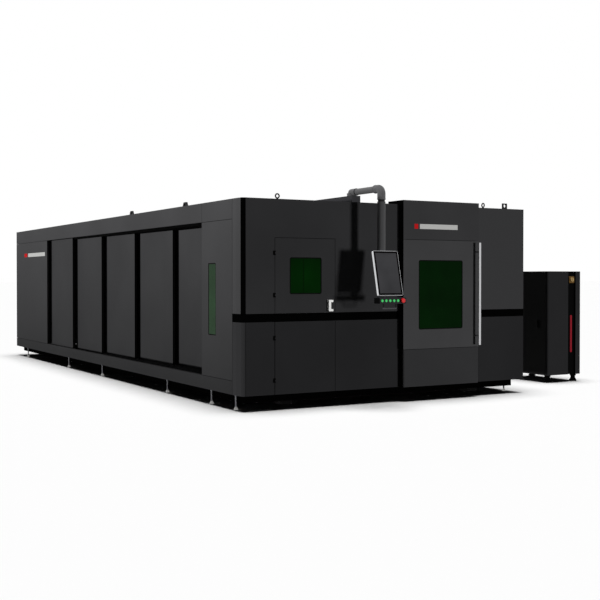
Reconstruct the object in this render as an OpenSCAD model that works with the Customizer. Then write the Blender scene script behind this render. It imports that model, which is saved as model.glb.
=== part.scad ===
// Fully enclosed sheet-metal laser cutting machine for large plates.
// A gantry on linear rails carries the cutting head over a slatted table inside a panelled enclosure.
// The long side opens with five telescopic leaves, the front with a hinged door and two hatches.
// Inner machine frame: x along the front to the right, y from the front to the back, z up.

/* [Enclosure] */
// Width across the front
enc_w = 4120; // [3900:20:4600]
// Length from front to back
enc_l = 9920; // [9700:20:10600]
// Height of the walls above the floor
enc_h = 2400; // [2380:5:2440]
// Height of the panels' underside above the floor
floor_gap = 180; // [150:5:210]
// Thickness of the sheet that panels are folded from
skin = 3; // [2:0.5:4]
// Depth of the panels' folded edges
fold = 40; // [30:1:45]
// Open seam between neighbouring panels
reveal = 5; // [3:0.5:8]
// Side of the square frame tubes
post = 80; // [60:1:90]

/* [Front wall] */
// Width of the corner post along the long side
corner_w = 229; // [200:1:280]
// Radius of the corner post's rounded edge
corner_r = 40; // [25:1:60]
// Lower edge of the black trim band
band_z = 1010; // [960:5:1060]
// Height of the black trim band
band_h = 86; // [60:1:110]
// Left seam of the two hatches, as a share of the front's width
hatch_x_share = 0.10218; // [0.095:0.0005:0.11]
// Width of the two hatches, as a share of the front's width
hatch_w_share = 0.19515; // [0.18:0.0005:0.205]
// Top seam of the upper hatch
hatch_top = 1963; // [1880:1:2040]
// Width of the upper hatch's pane
hatch_pane_w = 424; // [320:1:520]
// Height of the upper hatch's pane
hatch_pane_h = 422; // [320:1:500]

/* [Front door] */
// Left edge of the front door, as a share of the front's width
door_x_share = 0.5194; // [0.51:0.0002:0.53]
// Width of the front door, as a share of the front's width
door_w_share = 0.2825; // [0.26:0.0005:0.29]
// How far the door module stands out of the front wall
door_proud = 82; // [75:1:110]
// Thickness of the door leaf
door_t = 45; // [38:1:50]
// Underside of the door's header
header_z = 1972; // [1900:1:2020]
// Height of the door's header
header_h = 474; // [455:1:500]
// Top of the skirt below the door
skirt_top = 633; // [560:1:700]
// Width of the door's pane
pane_w = 677; // [560:1:760]
// Height of the door's pane
pane_h = 849; // [700:1:950]
// Diameter of the door's pull bar
pull_d = 34; // [26:1:42]

/* [Side door] */
// Front jamb of the loading opening
jamb_y = 1069; // [1040:1:1120]
// Step from one leaf's edge to the next
leaf_pitch = 1255; // [1200:1:1290]
// Step inwards from one leaf to the next
leaf_step = 80; // [70:1:84]
// Thickness of a leaf
leaf_t = 50; // [40:1:56]
// How far each leaf laps behind the one before it
leaf_lap = 80; // [50:1:110]
// Upper edge of the loading opening
head_z = 2172; // [2140:1:2180]
// Lower edge of the loading opening
sill_z = 335; // [320:1:370]

/* [Cutting table] */
// Clear space between the bed and the walls beside it
bed_clear = 228; // [200:1:300]
// Length of the slatted table
table_l = 6200; // [5800:10:6400]
// Height of the slats' points above the floor
slat_top = 800; // [780:5:820]
// Distance between slats
slat_pitch = 155; // [120:1:200]
// Width of the bed's side beams
beam_w = 240; // [220:1:260]

/* [Operator pendant] */
// Place of the pendant, as a share of the front's width
arm_x_share = 0.39709; // [0.39:0.0005:0.402]
// Reach of the pendant's drop tube in front of the wall
arm_reach = 350; // [330:1:380]
// Width of the monitor
monitor_w = 340; // [300:1:360]
// Height of the monitor
monitor_h = 525; // [480:1:540]
// Backward tilt of the monitor in degrees
monitor_tilt = 13; // [8:1:14]
// Width of the button box
button_box_w = 370; // [350:1:400]
// Distance between push buttons
button_pitch = 54; // [50:1:56]

/* [Power cabinet] */
// Clear distance from the enclosure to the cabinet
cab_gap = 1105; // [1060:5:1400]
// Width of the cabinet
cab_w = 635; // [600:5:700]
// Depth of the cabinet
cab_d = 1000; // [960:5:1040]
// Height of the cabinet above the floor
cab_h = 1600; // [1550:5:1700]
// Height of the cabinet's underside above the floor
cab_foot_h = 108; // [90:1:130]

/* [Extraction] */
// Inner radius of the fume outlet
outlet_r = 150; // [100:1:180]
// Length of the fume outlet's pipe
outlet_l = 120; // [80:1:160]

/* [Hidden] */
$fn = 64;

// Shared clearances
overrun = 1;
weld_gap = 0.4;
play = 0.5;
pin_play = 0.05;

// Places across the front
hatch_x = enc_w * hatch_x_share;
hatch_w = enc_w * hatch_w_share;
door_x = enc_w * door_x_share;
door_w = enc_w * door_w_share;
arm_x = enc_w * arm_x_share;

// Welded frame
rail_w = 100;
rail_in = 110;
rail_z = 90;
parapet = 20;
roof_z = enc_h - parapet;
top_rail_top = roof_z - fold;
top_rail_z = top_rail_top - post;
tab_t = 12;
tab_w = 80;
tab_in = 45;
foot_in = 75;
foot_shares = [0.0295, 0.096, 0.236, 0.502, 0.677, 0.943];
foot_stud_r = 10;
foot_pad_r = 24;
foot_pad_h = 12;
foot_cone_h = 22;
foot_nut_r = 17;
foot_nut_h = 14;
right_panels = 5;
rear_panels = 3;
roof_panels = 5;
right_pitch = (enc_l - fold - reveal) / right_panels;
rear_pitch = (enc_w - 2 * fold - 2 * reveal) / rear_panels;
hinge_post_x = hatch_x - reveal - post;
mid_post_x = hatch_x + hatch_w + reveal;
door_end = door_x + door_w;

// Corner post and trim
band_top = band_z + band_h;
band_in = 8;
bevel_w = 133;
bevel_in = 10;
corner_x = bevel_in + corner_r;
front_x0 = corner_x + reveal;
front_x1 = door_x - reveal;
right_x0 = door_end + reveal;

// Side door
leaf_count = 5;
return_w = 424;
far_jamb_y = jamb_y + return_w + leaf_count * leaf_pitch;
first_recess = leaf_step;
track_margin = 34;
track_in = first_recess + (leaf_count - 1) * leaf_step + leaf_t + track_margin;
track_lap = 60;
track_y0 = jamb_y - track_lap;
track_y1 = far_jamb_y + leaf_pitch + leaf_lap + track_lap;
near_post_y = track_y0 - reveal - post;
guide_w = 12;
guide_h = 22;
groove_w = guide_w + 2 * play;
leaf_gap = 4;
sill_drop = 28;
leaf_z0 = sill_z - sill_drop;
sill_top = leaf_z0 - leaf_gap;
return_in = track_in - track_margin / 2;
slit_y = 672;
slit_w = 211;
slit_z = 830;
slit_h = 849;
pane_t = 6;
pane_rim = 16;
pane_corner_r = 12;
cut_corner_r = 25;

// Hatches and their hinges
hatch_pane_x = 194;
hatch_pane_z = 1318;
hinge_x = hatch_x + reveal / 2;
hinge_r = 7;
hinge_pin_r = 3.5;
hinge_h = 50;
hinge_leaf_w = 25;
hinge_leaf_t = 3;
knuckle_h = (hinge_h - 2 * play) / 3;
upper_hinge_zs = [1284, 1762];
lower_hinge_zs = [317, 797];
hatch_handle_edge = 107;
hatch_handle_x = hatch_w - hatch_handle_edge;
hatch_handle_z = 1116;
hatch_handle_w = 60;
hatch_handle_h = 132;
hatch_handle_d = 34;
hatch_handle_plate = 8;
hatch_handle_end = 26;

// Front door module
header_top = header_z + header_h;
header_back = 240;
shell = 4;
jamb_w = 60;
door_back_gap = 25;
jamb_front = door_proud - door_t - door_back_gap;
pane_x = 229;
pane_z = 874;
pivot_in = 28;
pivot_r = 8;
pivot_l = 30;
pivot_boss = 36;
pull_in = 42;
pull_off = 70;
pull_l = 1282;
pull_z = 664;
pull_post_r = 9;
pull_post_in = 115;
door_pivot = [door_x + pivot_in, door_t / 2 - door_proud];

// Roof fittings
eye_ring_r = 24;
eye_wire_r = 8;
eye_shank_r = 12;
eye_shank_h = 36;
eye_base_r = 26;
eye_base_h = 8;
eye_front_in = 90;
eye_x_shares = [0.122, 0.853];
lug_l = 200;
lug_t = 20;
lug_h = 95;
lug_top_l = 80;
lug_hole_r = 22;
lug_in = 150;
lug_y_shares = [0.195, 0.393];
plate_lug_share = 0.938;
plate_lug_w = 73;
lug_hole_share = 0.66;
trunk_w = 120;
trunk_h = 115;
trunk_l = 4600;
trunk_top = roof_z + trunk_h;
trunk_front = 100;
outlet_z = 1700;
outlet_wall = 4;
outlet_flange = 55;
outlet_flange_t = 6;
outlet_bead = 6;

// Pendant
arm_base_y = 289;
tube_y = -arm_reach;
arm_r = 38;
elbow_r = 48;
elbow_bend = 62;
arm_rise = 44;
arm_mid_z = trunk_top + play + arm_rise;
arm_collar_r = 58;
arm_collar_h = 34;
socket_r = 43;
socket_l = 110;
elbow_socket_l = 60;
socket_rim = 2;
socket_rim_l = 12;
arm_pin_r = 30;
arm_pin_h = 60;
drop_collar_r = 50;
drop_collar_h = 66;
drop_pin_r = 28;
drop_pin_h = 60;
drop_top = arm_mid_z - elbow_bend - drop_collar_h - play;
neck_r = 41;
neck_h = 24;
tube_r = 48;
tube_end_z = 1215;
tube_front = tube_y - tube_r;
monitor_t = 30;
monitor_z = 1560;
monitor_lead = 91;
monitor_y = tube_front - monitor_lead;
bezel = 9;
screen_t = 4;
bracket_w = 150;
bracket_h = 200;
box_h = 72;
box_z = 1208;
box_d = 110;
box_lead = 177;
box_front = tube_front - box_lead;
box_shift = 9;
box_x0 = arm_x + box_shift - button_box_w / 2;
box_arm_w = 80;
box_arm_in = 14;
button_r = 15;
button_out = 8;
button_in = 14;
button_hole = 24;
button_start = 35;
button_z = box_z + box_h / 2;
stop_lead = 63;
stop_r = 28;
stop_neck_r = 11;
stop_h = 14;
stop_out = 14;
button_count = 5;
stop_x = button_x(button_count - 1) + stop_lead;
grab_w = 170;
grab_r = 9;
grab_drop = 54;

// Bed, table and scrap trays
wall_in = fold + post;
bed_mid = (track_in + enc_w - wall_in) / 2;
table_gap = 10;
bed_w = enc_w - wall_in - track_in - 2 * bed_clear;
table_w = bed_w - 2 * table_gap - 2 * beam_w;
bed_x0 = bed_mid - bed_w / 2;
bed_x1 = bed_mid + bed_w / 2;
bed_y0 = 350;
table_y0 = 1530;
table_y1 = table_y0 + table_l;
bed_tail = 720;
bed_y1 = table_y1 + bed_tail;
beam_z0 = 300;
beam_rise = 60;
beam_top = slat_top + beam_rise;
bed_leg = 160;
bed_leg_count = 5;
bed_leg_in = 120;
bed_leg_pitch = (bed_y1 - bed_y0 - 2 * bed_leg_in - bed_leg) / (bed_leg_count - 1);
beam_web = 14;
beam_pocket_count = 12;
beam_pocket_h = 280;
beam_pocket_gap = 110;
cross_w = 160;
cross_h = 200;
slat_h = 120;
slat_t = 4;
slat_tooth = 40;
slat_teeth = 24;
slat_count = floor((table_l - 2 * slat_pitch) / slat_pitch);
slat_y0 = table_y0 + (table_l - (slat_count - 1) * slat_pitch) / 2;
slat_z0 = slat_top - slat_h;
table_rail_w = 60;
table_rail_h = 60;
table_z0 = slat_z0 - table_rail_h;
comb_t = 8;
comb_h = 62;
tray_wall = 4;
tray_h = 190;
tray_in = 60;
tray_count = 4;

// Axes
rail_block_w = 34;
rail_h = 40;
rail_waist = 6;
rail_foot_share = 0.3;
rail_neck_share = 0.6;
rail_end_in = 50;
rail_top = beam_top + rail_h;
magnet_w = 56;
magnet_h = 14;
magnet_off = 74;
block_w = 70;
block_l = 130;
block_h = 42;
block_roof = 12;
leg_z = rail_top + block_roof;
leg_h = 130;
leg_l = 420;
gantry_y = 850;
gantry_d = 340;
gantry_h = 360;
gantry_z = leg_z + leg_h;
gantry_over = 30;
gantry_chamfer = 70;
beam_rail_w = 24;
beam_rail_d = 20;
beam_rail_in = 60;
beam_rail_zs = [gantry_z + beam_rail_in, gantry_z + gantry_h - beam_rail_in - beam_rail_w];
gantry_front = gantry_y - gantry_d / 2;
motor_l = 300;
motor_air = 1;
head_park = 455;
head_x = bed_mid + head_park;
carriage_w = 380;
carriage_t = 30;
carriage_back = beam_rail_d + play;
carriage_drop = 40;
carriage_z0 = gantry_z - carriage_drop;
carriage_h = 440;
carriage_y = gantry_front - carriage_back - carriage_t;
carriage_shoe = 30;
slide_w = 170;
slide_t = 34;
slide_over = 60;
guide_bar_w = 22;
guide_bar_d = 14;
guide_bar_off = 46;
head_body = 120;
head_body_h = 330;
head_y = carriage_y - guide_bar_d - play - slide_t - head_body / 2;
head_lens_r = 48;
head_lens_h = 120;
head_cone_h = 70;
head_tip_r = 14;
nozzle_r = 9;
nozzle_h = 22;
nozzle_tip_r = 4;
head_clear = 150;
nozzle_z0 = slat_top + head_clear;
head_cone_z0 = nozzle_z0 + nozzle_h;
head_lens_z0 = head_cone_z0 + head_cone_h;
head_body_z0 = head_lens_z0 + head_lens_h;
head_body_z1 = head_body_z0 + head_body_h;
slide_z0 = head_body_z0 - slide_over;
slide_z1 = head_body_z1 + slide_over;

// Cabinet
cab_x = enc_w + cab_gap;
cab_y = 720;
cab_front_t = 30;
channel_x = 401;
channel_w = 145;
channel_d = 24;
cab_edge_r = 26;
cab_door_t = 26;
cab_pin_r = 6;
cab_pin_l = 20;
cab_pin_in = 16;
cab_boss = 30;
cab_door_y0 = cab_y + cab_front_t + leaf_gap;
cab_door_back = 10;
cab_door_y1 = cab_y + cab_d - shell - cab_door_back;
cab_pivot = [cab_x + cab_door_t / 2, cab_door_y1 - cab_pin_in];
grip_in = 139;
grip_y = cab_y + grip_in;
grip_w = 69;
grip_z = 787;
grip_h = 110;
grip_d = 18;
cab_foot_r = 34;
cab_foot_stem_r = 20;
cab_foot_in = 70;
cab_foot_pad = 40;
switch_z = 1480;
switch_w = 96;
switch_in = 4;
switch_t = channel_d - switch_in;
channel_mid = cab_x + channel_x + channel_w / 2;
channel_floor = cab_y + channel_d;
knob_r = 30;
knob_t = 12;
knob_grip_w = 14;
knob_grip_d = 20;
knob_shaft_r = 6;
knob_shaft_l = 14;
light_w = 30;
light_t = 10;
light_z = 428;
light_h = 536;
source_w = 440;
source_d = 780;
source_h = 620;
source_in = 60;
source_rack_h = 90;
source_flange = 22;
source_flange_t = 6;

// Centre of the machine's box on the floor
rear_end = enc_l + outlet_l;
front_end = box_front - stop_out - stop_h;
mid = [(cab_x + cab_w) / 2, (rear_end + front_end) / 2, 0];

function leaf_x(k) = first_recess + (k - 1) * leaf_step;
function leaf_y(k) = far_jamb_y - k * leaf_pitch;
function leg_y(i) = bed_y0 + bed_leg_in + i * bed_leg_pitch;
function cross_y(i) = table_y0 + i * (table_l - cross_w) / (bed_leg_count - 1);
function button_x(i) = box_x0 + button_start + i * button_pitch;
function roof_seam(i) = fold + i * (enc_l - 2 * fold) / roof_panels;
function right_post_y(i) = i == 0 ? fold : min(fold + i * right_pitch - post / 2, enc_l - fold - post);

// Shared shapes

module place() {
  translate(-mid) children();
}

// Upright bar between two corners
module bar(low, high) {
  translate(low) cube(high - low);
}

// Sheet panel with all four edges folded back; it faces -y and its pocket opens to +y
module cassette(x0, x1, z0, z1, depth = fold) {
  difference() {
    bar([x0, 0, z0], [x1, depth, z1]);
    bar([x0 + skin, skin, z0 + skin], [x1 - skin, depth + overrun, z1 - skin]);
  }
}

// Draws what faces -y on the left long side, with x running to the back
module on_left_side() {
  mirror([1, -1, 0]) children();
}

module on_right_side() {
  translate([enc_w, 0, 0]) rotate([0, 0, 90]) children();
}

module on_rear() {
  translate([0, enc_l, 0]) mirror([0, 1, 0]) children();
}

// Upright plate with rounded corners, from y0 to y1
module rounded_pane(x0, w, z0, h, y0, y1, r = pane_corner_r) {
  translate([x0, y1, z0]) rotate([90, 0, 0]) linear_extrude(y1 - y0) rounded_outline(w, h, r);
}

module rounded_outline(w, h, r) {
  translate([r, 0]) square([w - 2 * r, h]);
  translate([0, r]) square([w, h - 2 * r]);
  for (x = [r, w - r], y = [r, h - r]) translate([x, y]) circle(r);
}

// Cross-section of all that lies behind the near corner's bevelled and rounded outer line
module corner_region(inset) {
  polygon([
    [inset, corner_w], [inset, bevel_w], [bevel_in + inset, corner_r],
    [corner_x, corner_r], [corner_x, inset], [front_x1, inset], [front_x1, corner_w]
  ]);
  translate([corner_x, corner_r]) circle(max(corner_r - inset, 0));
}

// Strip of the corner's outer line, from one inset to another, within a window
module corner_strip(inset, t, low, high) {
  intersection() {
    difference() {
      corner_region(inset);
      corner_region(inset + t);
    }
    translate(low) square(high - low);
  }
}

// Enclosure

// Welded tube frame: base rails, cross ties, posts, top rails and roof beams
module enclosure_frame() {
  in_w = rail_in + rail_w + weld_gap;
  base_top = floor_gap - weld_gap;
  top_in = fold + post + weld_gap;
  color("dimgray") {
    for (x = [rail_in, enc_w - rail_in - rail_w])
      bar([x, rail_in, rail_z], [x + rail_w, enc_l - rail_in, base_top]);
    for (y = [rail_in, enc_l - rail_in - rail_w])
      bar([in_w, y, rail_z], [enc_w - in_w, y + rail_w, base_top]);
    for (i = [0 : bed_leg_count - 1])
      bar([in_w, leg_y(i) + bed_leg + weld_gap, rail_z], [enc_w - in_w, leg_y(i) + bed_leg + post, base_top]);
    for (share = foot_shares, right = [false, true])
      translate([right ? enc_w : 0, share * enc_l]) mirror([right ? 1 : 0, 0, 0])
        bar([tab_in, -tab_w / 2, floor_gap - tab_t], [rail_in - weld_gap, tab_w / 2, floor_gap]);
    for (y = [corner_w - post, near_post_y, enc_l - fold - post]) upright(fold, y);
    for (x = [hinge_post_x, mid_post_x, door_x - post / 2, door_end - post / 2]) upright(x, fold);
    for (i = [0 : right_panels]) upright(enc_w - fold - post, right_post_y(i));
    for (i = [1 : rear_panels - 1]) upright(fold + reveal + i * rear_pitch - post / 2, enc_l - fold - post);
    for (x = [fold, enc_w - fold - post])
      bar([x, fold, top_rail_z], [x + post, enc_l - fold, top_rail_top]);
    for (y = [fold, enc_l - fold - post])
      bar([top_in, y, top_rail_z], [enc_w - top_in, y + post, top_rail_top]);
    for (i = [1 : roof_panels - 1])
      bar([top_in, roof_seam(i) - post / 2, top_rail_z],
          [enc_w - top_in, roof_seam(i) + post / 2, top_rail_top]);
  }
}

module upright(x, y) {
  bar([x, y, floor_gap], [x + post, y + post, top_rail_z - weld_gap]);
}

// Threaded studs with round pads and lock nuts along both long sides
module levelling_feet() {
  stud_top = floor_gap - tab_t;
  color("gainsboro")
    for (share = foot_shares, x = [foot_in, enc_w - foot_in])
      translate([x, share * enc_l, 0]) {
        cylinder(h = foot_pad_h, r = foot_pad_r);
        translate([0, 0, foot_pad_h]) cylinder(h = foot_cone_h, r1 = foot_pad_r, r2 = foot_stud_r);
        cylinder(h = stud_top, r = foot_stud_r);
        translate([0, 0, stud_top - foot_nut_h]) cylinder(h = foot_nut_h, r = foot_nut_r, $fn = 6);
      }
}

// Near corner: folded post with a bevelled side face, rounded to the front below the band
module corner_post() {
  upper_z = band_top + reveal;
  color([0.28, 0.28, 0.29]) {
    translate([0, 0, floor_gap]) linear_extrude(band_z - reveal - floor_gap)
      corner_strip(0, skin, [0, 0], [corner_x, corner_w]);
    translate([0, 0, upper_z]) linear_extrude(enc_h - upper_z)
      corner_strip(0, skin, [0, corner_r], [corner_x, corner_w]);
    for (z = [[floor_gap, band_z - reveal], [upper_z, enc_h]])
      bar([0, corner_w - skin, z[0]], [fold, corner_w, z[1]]);
  }
}

// Folded top and bottom bands of the long side
module side_bands() {
  color([0.25, 0.25, 0.26]) on_left_side() {
    cassette(corner_w + reveal, jamb_y - reveal / 2, head_z, enc_h);
    cassette(jamb_y + reveal / 2, enc_l, head_z, enc_h);
    cassette(corner_w + reveal, enc_l, floor_gap, sill_z);
  }
}

// Fixed panels before and behind the loading opening, and the return behind the last leaf
module side_end_panels() {
  z0 = sill_z + reveal;
  z1 = head_z - reveal;
  color([0.25, 0.25, 0.26]) on_left_side() {
    difference() {
      cassette(corner_w + reveal, jamb_y, z0, z1);
      rounded_pane(slit_y, slit_w, slit_z, slit_h, -overrun, fold);
    }
    cassette(far_jamb_y, enc_l, z0, z1);
    bar([jamb_y - skin, fold + weld_gap, sill_top + weld_gap], [jamb_y, return_in, head_z - weld_gap]);
    bar([jamb_y + weld_gap, return_in - skin, sill_top + weld_gap],
        [jamb_y + return_w + leaf_lap, return_in, head_z - weld_gap]);
  }
}

// Laser safety pane of the near side panel
module slit_window() {
  color([0.2, 0.45, 0.2, 0.6]) on_left_side()
    rounded_pane(slit_y - pane_rim, slit_w + 2 * pane_rim, slit_z - pane_rim, slit_h + 2 * pane_rim,
      skin, skin + pane_t);
}

// Head and sill beams of the side door, each with one guide bar for every leaf
module side_door_rails() {
  x0 = fold + weld_gap;
  color([0.1, 0.1, 0.1]) {
    bar([x0, track_y0, floor_gap + weld_gap], [track_in, track_y1, sill_top]);
    bar([x0, track_y0, head_z], [track_in, track_y1, top_rail_z - weld_gap]);
    for (k = [1 : leaf_count]) {
      guide_x = leaf_x(k) + (leaf_t - guide_w) / 2;
      bar([guide_x, jamb_y, sill_top - overrun], [guide_x + guide_w, track_y1, sill_top + guide_h]);
      bar([guide_x, jamb_y, head_z - guide_h], [guide_x + guide_w, track_y1, head_z + overrun]);
    }
  }
}

// Front sheet above the band, folded round the notch that the upper hatch closes
module front_upper_panel() {
  z0 = band_top + reveal;
  notch_x1 = hatch_x + hatch_w;
  color([0.16, 0.16, 0.17])
    difference() {
      bar([front_x0, 0, z0], [front_x1, fold, enc_h]);
      bar([hatch_x, -overrun, z0 - overrun], [notch_x1, fold + overrun, hatch_top]);
      difference() {
        bar([front_x0 + skin, skin, z0 + skin], [front_x1 - skin, fold + overrun, enc_h - skin]);
        bar([hatch_x - skin, 0, 0], [notch_x1 + skin, fold + overrun, hatch_top + skin]);
      }
    }
}

// Fixed front panels: beside the lower hatch, and right of the door above and below the band
module front_infill_panels() {
  color([0.15, 0.15, 0.16]) {
    cassette(front_x0, hatch_x - reveal / 2, floor_gap, band_z - reveal);
    cassette(hatch_x + hatch_w + reveal / 2, front_x1, floor_gap, band_z - reveal);
    cassette(right_x0, enc_w, floor_gap, band_z - reveal);
    cassette(right_x0, enc_w, band_top + reveal, enc_h);
  }
}

// Black trim: the band round the near corner and across the front, and the corner's upright strip
module trim_band() {
  upper_z = band_top + reveal;
  color([0.02, 0.02, 0.02]) {
    translate([0, 0, band_z]) linear_extrude(band_h)
      corner_strip(band_in, fold - band_in, [0, 0], [front_x1, corner_w]);
    bar([right_x0, band_in, band_z], [enc_w, fold, band_top]);
    translate([0, 0, upper_z]) linear_extrude(enc_h - upper_z)
      corner_strip(0, skin, [0, 0], [corner_x, corner_r - reveal / 2]);
    bar([corner_x - skin, skin - overrun, upper_z], [corner_x, fold, enc_h]);
  }
}

// Header box of the front door: it stands proud of the wall and laps back over the roof's edge
module door_header() {
  color([0.19, 0.19, 0.2]) {
    difference() {
      union() {
        bar([door_x, -door_proud, header_z], [door_end, fold, header_top]);
        bar([door_x, 0, enc_h + reveal], [door_end, header_back, header_top]);
      }
      bar([door_x + shell, shell - door_proud, header_z + shell], [door_end - shell, fold + overrun, enc_h]);
    }
    translate([door_pivot[0], door_pivot[1], header_z - pivot_l])
      cylinder(h = pivot_l + shell, r = pivot_r);
  }
}

// Fixed skirt box below the front door, open to the inside, with rounded upright edges
module door_skirt() {
  r = door_t / 2;
  color([0.19, 0.19, 0.2]) {
    difference() {
      translate([0, 0, floor_gap]) linear_extrude(skirt_top - floor_gap) {
        translate([door_x, r - door_proud]) square([door_w, fold + door_proud - r]);
        translate([door_x + r, -door_proud]) square([door_w - 2 * r, r]);
        for (x = [door_x + r, door_end - r]) translate([x, r - door_proud]) circle(r);
      }
      bar([door_x + shell, door_t - door_proud, floor_gap + shell],
          [door_end - shell, fold + overrun, skirt_top - shell]);
    }
    translate([door_pivot[0], door_pivot[1], skirt_top - shell])
      cylinder(h = pivot_l + shell, r = pivot_r);
  }
}

// Upright jambs behind the front door
module door_frame() {
  color([0.03, 0.03, 0.03])
    for (x = [door_x, door_end - jamb_w])
      bar([x, -jamb_front, skirt_top + weld_gap], [x + jamb_w, fold, header_z - weld_gap]);
}

// Long closed wall of folded panels
module right_wall() {
  y0 = fold + reveal;
  color([0.2, 0.2, 0.21]) on_right_side()
    for (i = [0 : right_panels - 1])
      cassette(y0 + i * right_pitch, y0 + (i + 1) * right_pitch - reveal, floor_gap, enc_h);
}

// Rear wall of folded panels, with a round hole behind the fume outlet
module rear_wall() {
  x0 = fold + reveal;
  x1 = x0 + rear_panels * rear_pitch;
  color([0.2, 0.2, 0.21]) on_rear()
    difference() {
      for (i = [0 : rear_panels - 1])
        cassette(x0 + i * rear_pitch, x0 + (i + 1) * rear_pitch - (i == rear_panels - 1 ? 0 : reveal),
          floor_gap, enc_h);
      translate([(x0 + x1) / 2, -overrun, outlet_z]) rotate([-90, 0, 0])
        cylinder(h = skin + 2 * overrun, r = outlet_r);
    }
}

// Flanged pipe for the extraction hose, with a rolled bead near its end
module fume_outlet() {
  color("silver")
    translate([enc_w / 2, enc_l, outlet_z]) rotate([-90, 0, 0])
      difference() {
        union() {
          cylinder(h = outlet_flange_t, r = outlet_r + outlet_flange);
          cylinder(h = outlet_l, r = outlet_r + outlet_wall);
          translate([0, 0, outlet_l - outlet_flange_t - outlet_bead])
            cylinder(h = outlet_bead, r = outlet_r + outlet_wall + outlet_bead);
        }
        translate([0, 0, -overrun]) cylinder(h = outlet_l + 2 * overrun, r = outlet_r);
      }
}

// Roof of folded panels that rest on the top rails
module roof() {
  x0 = fold + reveal;
  color([0.2, 0.2, 0.21])
    for (i = [0 : roof_panels - 1])
      difference() {
        bar([x0, roof_seam(i) + reveal, top_rail_top], [enc_w - x0, roof_seam(i + 1) - reveal, roof_z]);
        bar([x0 + skin, roof_seam(i) + reveal + skin, top_rail_top - overrun],
            [enc_w - x0 - skin, roof_seam(i + 1) - reveal - skin, roof_z - skin]);
      }
}

// Ring eyes, long lug plates and one square lug for lifting
module lifting_eyes() {
  ring_z = eye_shank_h + eye_ring_r;
  color("gray") {
    for (i = [0 : len(eye_x_shares) - 1])
      translate([eye_x_shares[i] * enc_w, eye_front_in, roof_z]) rotate([0, 0, i * 90]) {
        cylinder(h = eye_base_h, r = eye_base_r);
        cylinder(h = eye_shank_h, r = eye_shank_r);
        translate([0, 0, ring_z]) rotate([90, 0, 0])
          rotate_extrude() translate([eye_ring_r, 0]) circle(eye_wire_r);
      }
    for (share = lug_y_shares, x = [lug_in, enc_w - lug_in - lug_t])
      translate([x, share * enc_l, roof_z]) rotate([90, 0, 90]) lug_plate(lug_l, lug_top_l);
    translate([plate_lug_share * enc_w, eye_front_in, roof_z]) rotate([90, 0, 0])
      lug_plate(plate_lug_w, plate_lug_w);
  }
}

module lug_plate(base, top) {
  linear_extrude(lug_t)
    difference() {
      polygon([[-base / 2, 0], [base / 2, 0], [top / 2, lug_h], [-top / 2, lug_h]]);
      translate([0, lug_h * lug_hole_share]) circle(lug_hole_r);
    }
}

// Cable trunk along the roof; its front end carries the pendant arm's pivot
module roof_trunk() {
  x0 = arm_x - trunk_w / 2;
  color([0.22, 0.22, 0.23]) {
    bar([x0, arm_base_y - trunk_front, roof_z], [x0 + trunk_w, arm_base_y + trunk_l, trunk_top]);
    translate([arm_x, arm_base_y, trunk_top - overrun]) cylinder(h = arm_pin_h + overrun, r = arm_pin_r);
  }
}

// Hatches

// Fixed halves of the four hatch hinges, each with two knuckles and its pin
module hatch_hinges() {
  x = hinge_x;
  color([0.04, 0.04, 0.04])
    for (z = concat(upper_hinge_zs, lower_hinge_zs)) {
      bar([x - hinge_leaf_w, -hinge_leaf_t, z], [x - hinge_r - play, 0, z + hinge_h]);
      translate([x, -hinge_r, z]) cylinder(h = hinge_h, r = hinge_pin_r);
      for (kz = [z, z + hinge_h - knuckle_h]) {
        translate([x, -hinge_r, kz]) cylinder(h = knuckle_h, r = hinge_r - pin_play);
        bar([x - hinge_r - overrun, -hinge_leaf_t, kz], [x, -pin_play, kz + knuckle_h]);
      }
    }
}

// Moving half of a hatch hinge: one bored knuckle and its leaf
module hinge_leaf(z) {
  x = hinge_x;
  z1 = z + knuckle_h + play;
  difference() {
    union() {
      bar([x + hinge_r + play, -hinge_leaf_t, z], [x + hinge_leaf_w, 0, z + hinge_h]);
      bar([x, -hinge_leaf_t, z1], [x + hinge_r + overrun, -pin_play, z1 + knuckle_h]);
      translate([x, -hinge_r, z1]) cylinder(h = knuckle_h, r = hinge_r - pin_play);
    }
    translate([x, -hinge_r, z]) cylinder(h = hinge_h, r = hinge_pin_r + pin_play);
  }
}

// Upper hatch with its pane cut-out
module hatch_door() {
  color([0.17, 0.17, 0.18]) {
    difference() {
      cassette(hatch_x + reveal, hatch_x + hatch_w - reveal, band_top + reveal, hatch_top - reveal);
      rounded_pane(hatch_x + hatch_pane_x, hatch_pane_w, hatch_pane_z, hatch_pane_h, -overrun, fold,
        cut_corner_r);
    }
    for (z = upper_hinge_zs) hinge_leaf(z);
  }
}

module hatch_window() {
  color([0.05, 0.3, 0.05, 0.6])
    rounded_pane(hatch_x + hatch_pane_x - pane_rim, hatch_pane_w + 2 * pane_rim, hatch_pane_z - pane_rim,
      hatch_pane_h + 2 * pane_rim, skin, skin + pane_t);
}

// White pull: a plate with two end blocks and a bar between them
module hatch_handle() {
  x = hatch_x + hatch_handle_x;
  z1 = hatch_handle_z + hatch_handle_h;
  color("whitesmoke") {
    rounded_pane(x, hatch_handle_w, hatch_handle_z, hatch_handle_h, -hatch_handle_plate, 0);
    for (z = [hatch_handle_z, z1 - hatch_handle_end])
      rounded_pane(x, hatch_handle_w, z, hatch_handle_end, -hatch_handle_d, 0, hatch_handle_plate);
    rounded_pane(x, hatch_handle_w / 2, hatch_handle_z, hatch_handle_h, -hatch_handle_d,
      hatch_handle_plate - hatch_handle_d, hatch_handle_plate);
  }
}

module lower_hatch() {
  color([0.14, 0.14, 0.15]) {
    cassette(hatch_x + reveal, hatch_x + hatch_w - reveal / 2, floor_gap, band_z - reveal);
    for (z = lower_hinge_zs) hinge_leaf(z);
  }
}

// Front door

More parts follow.
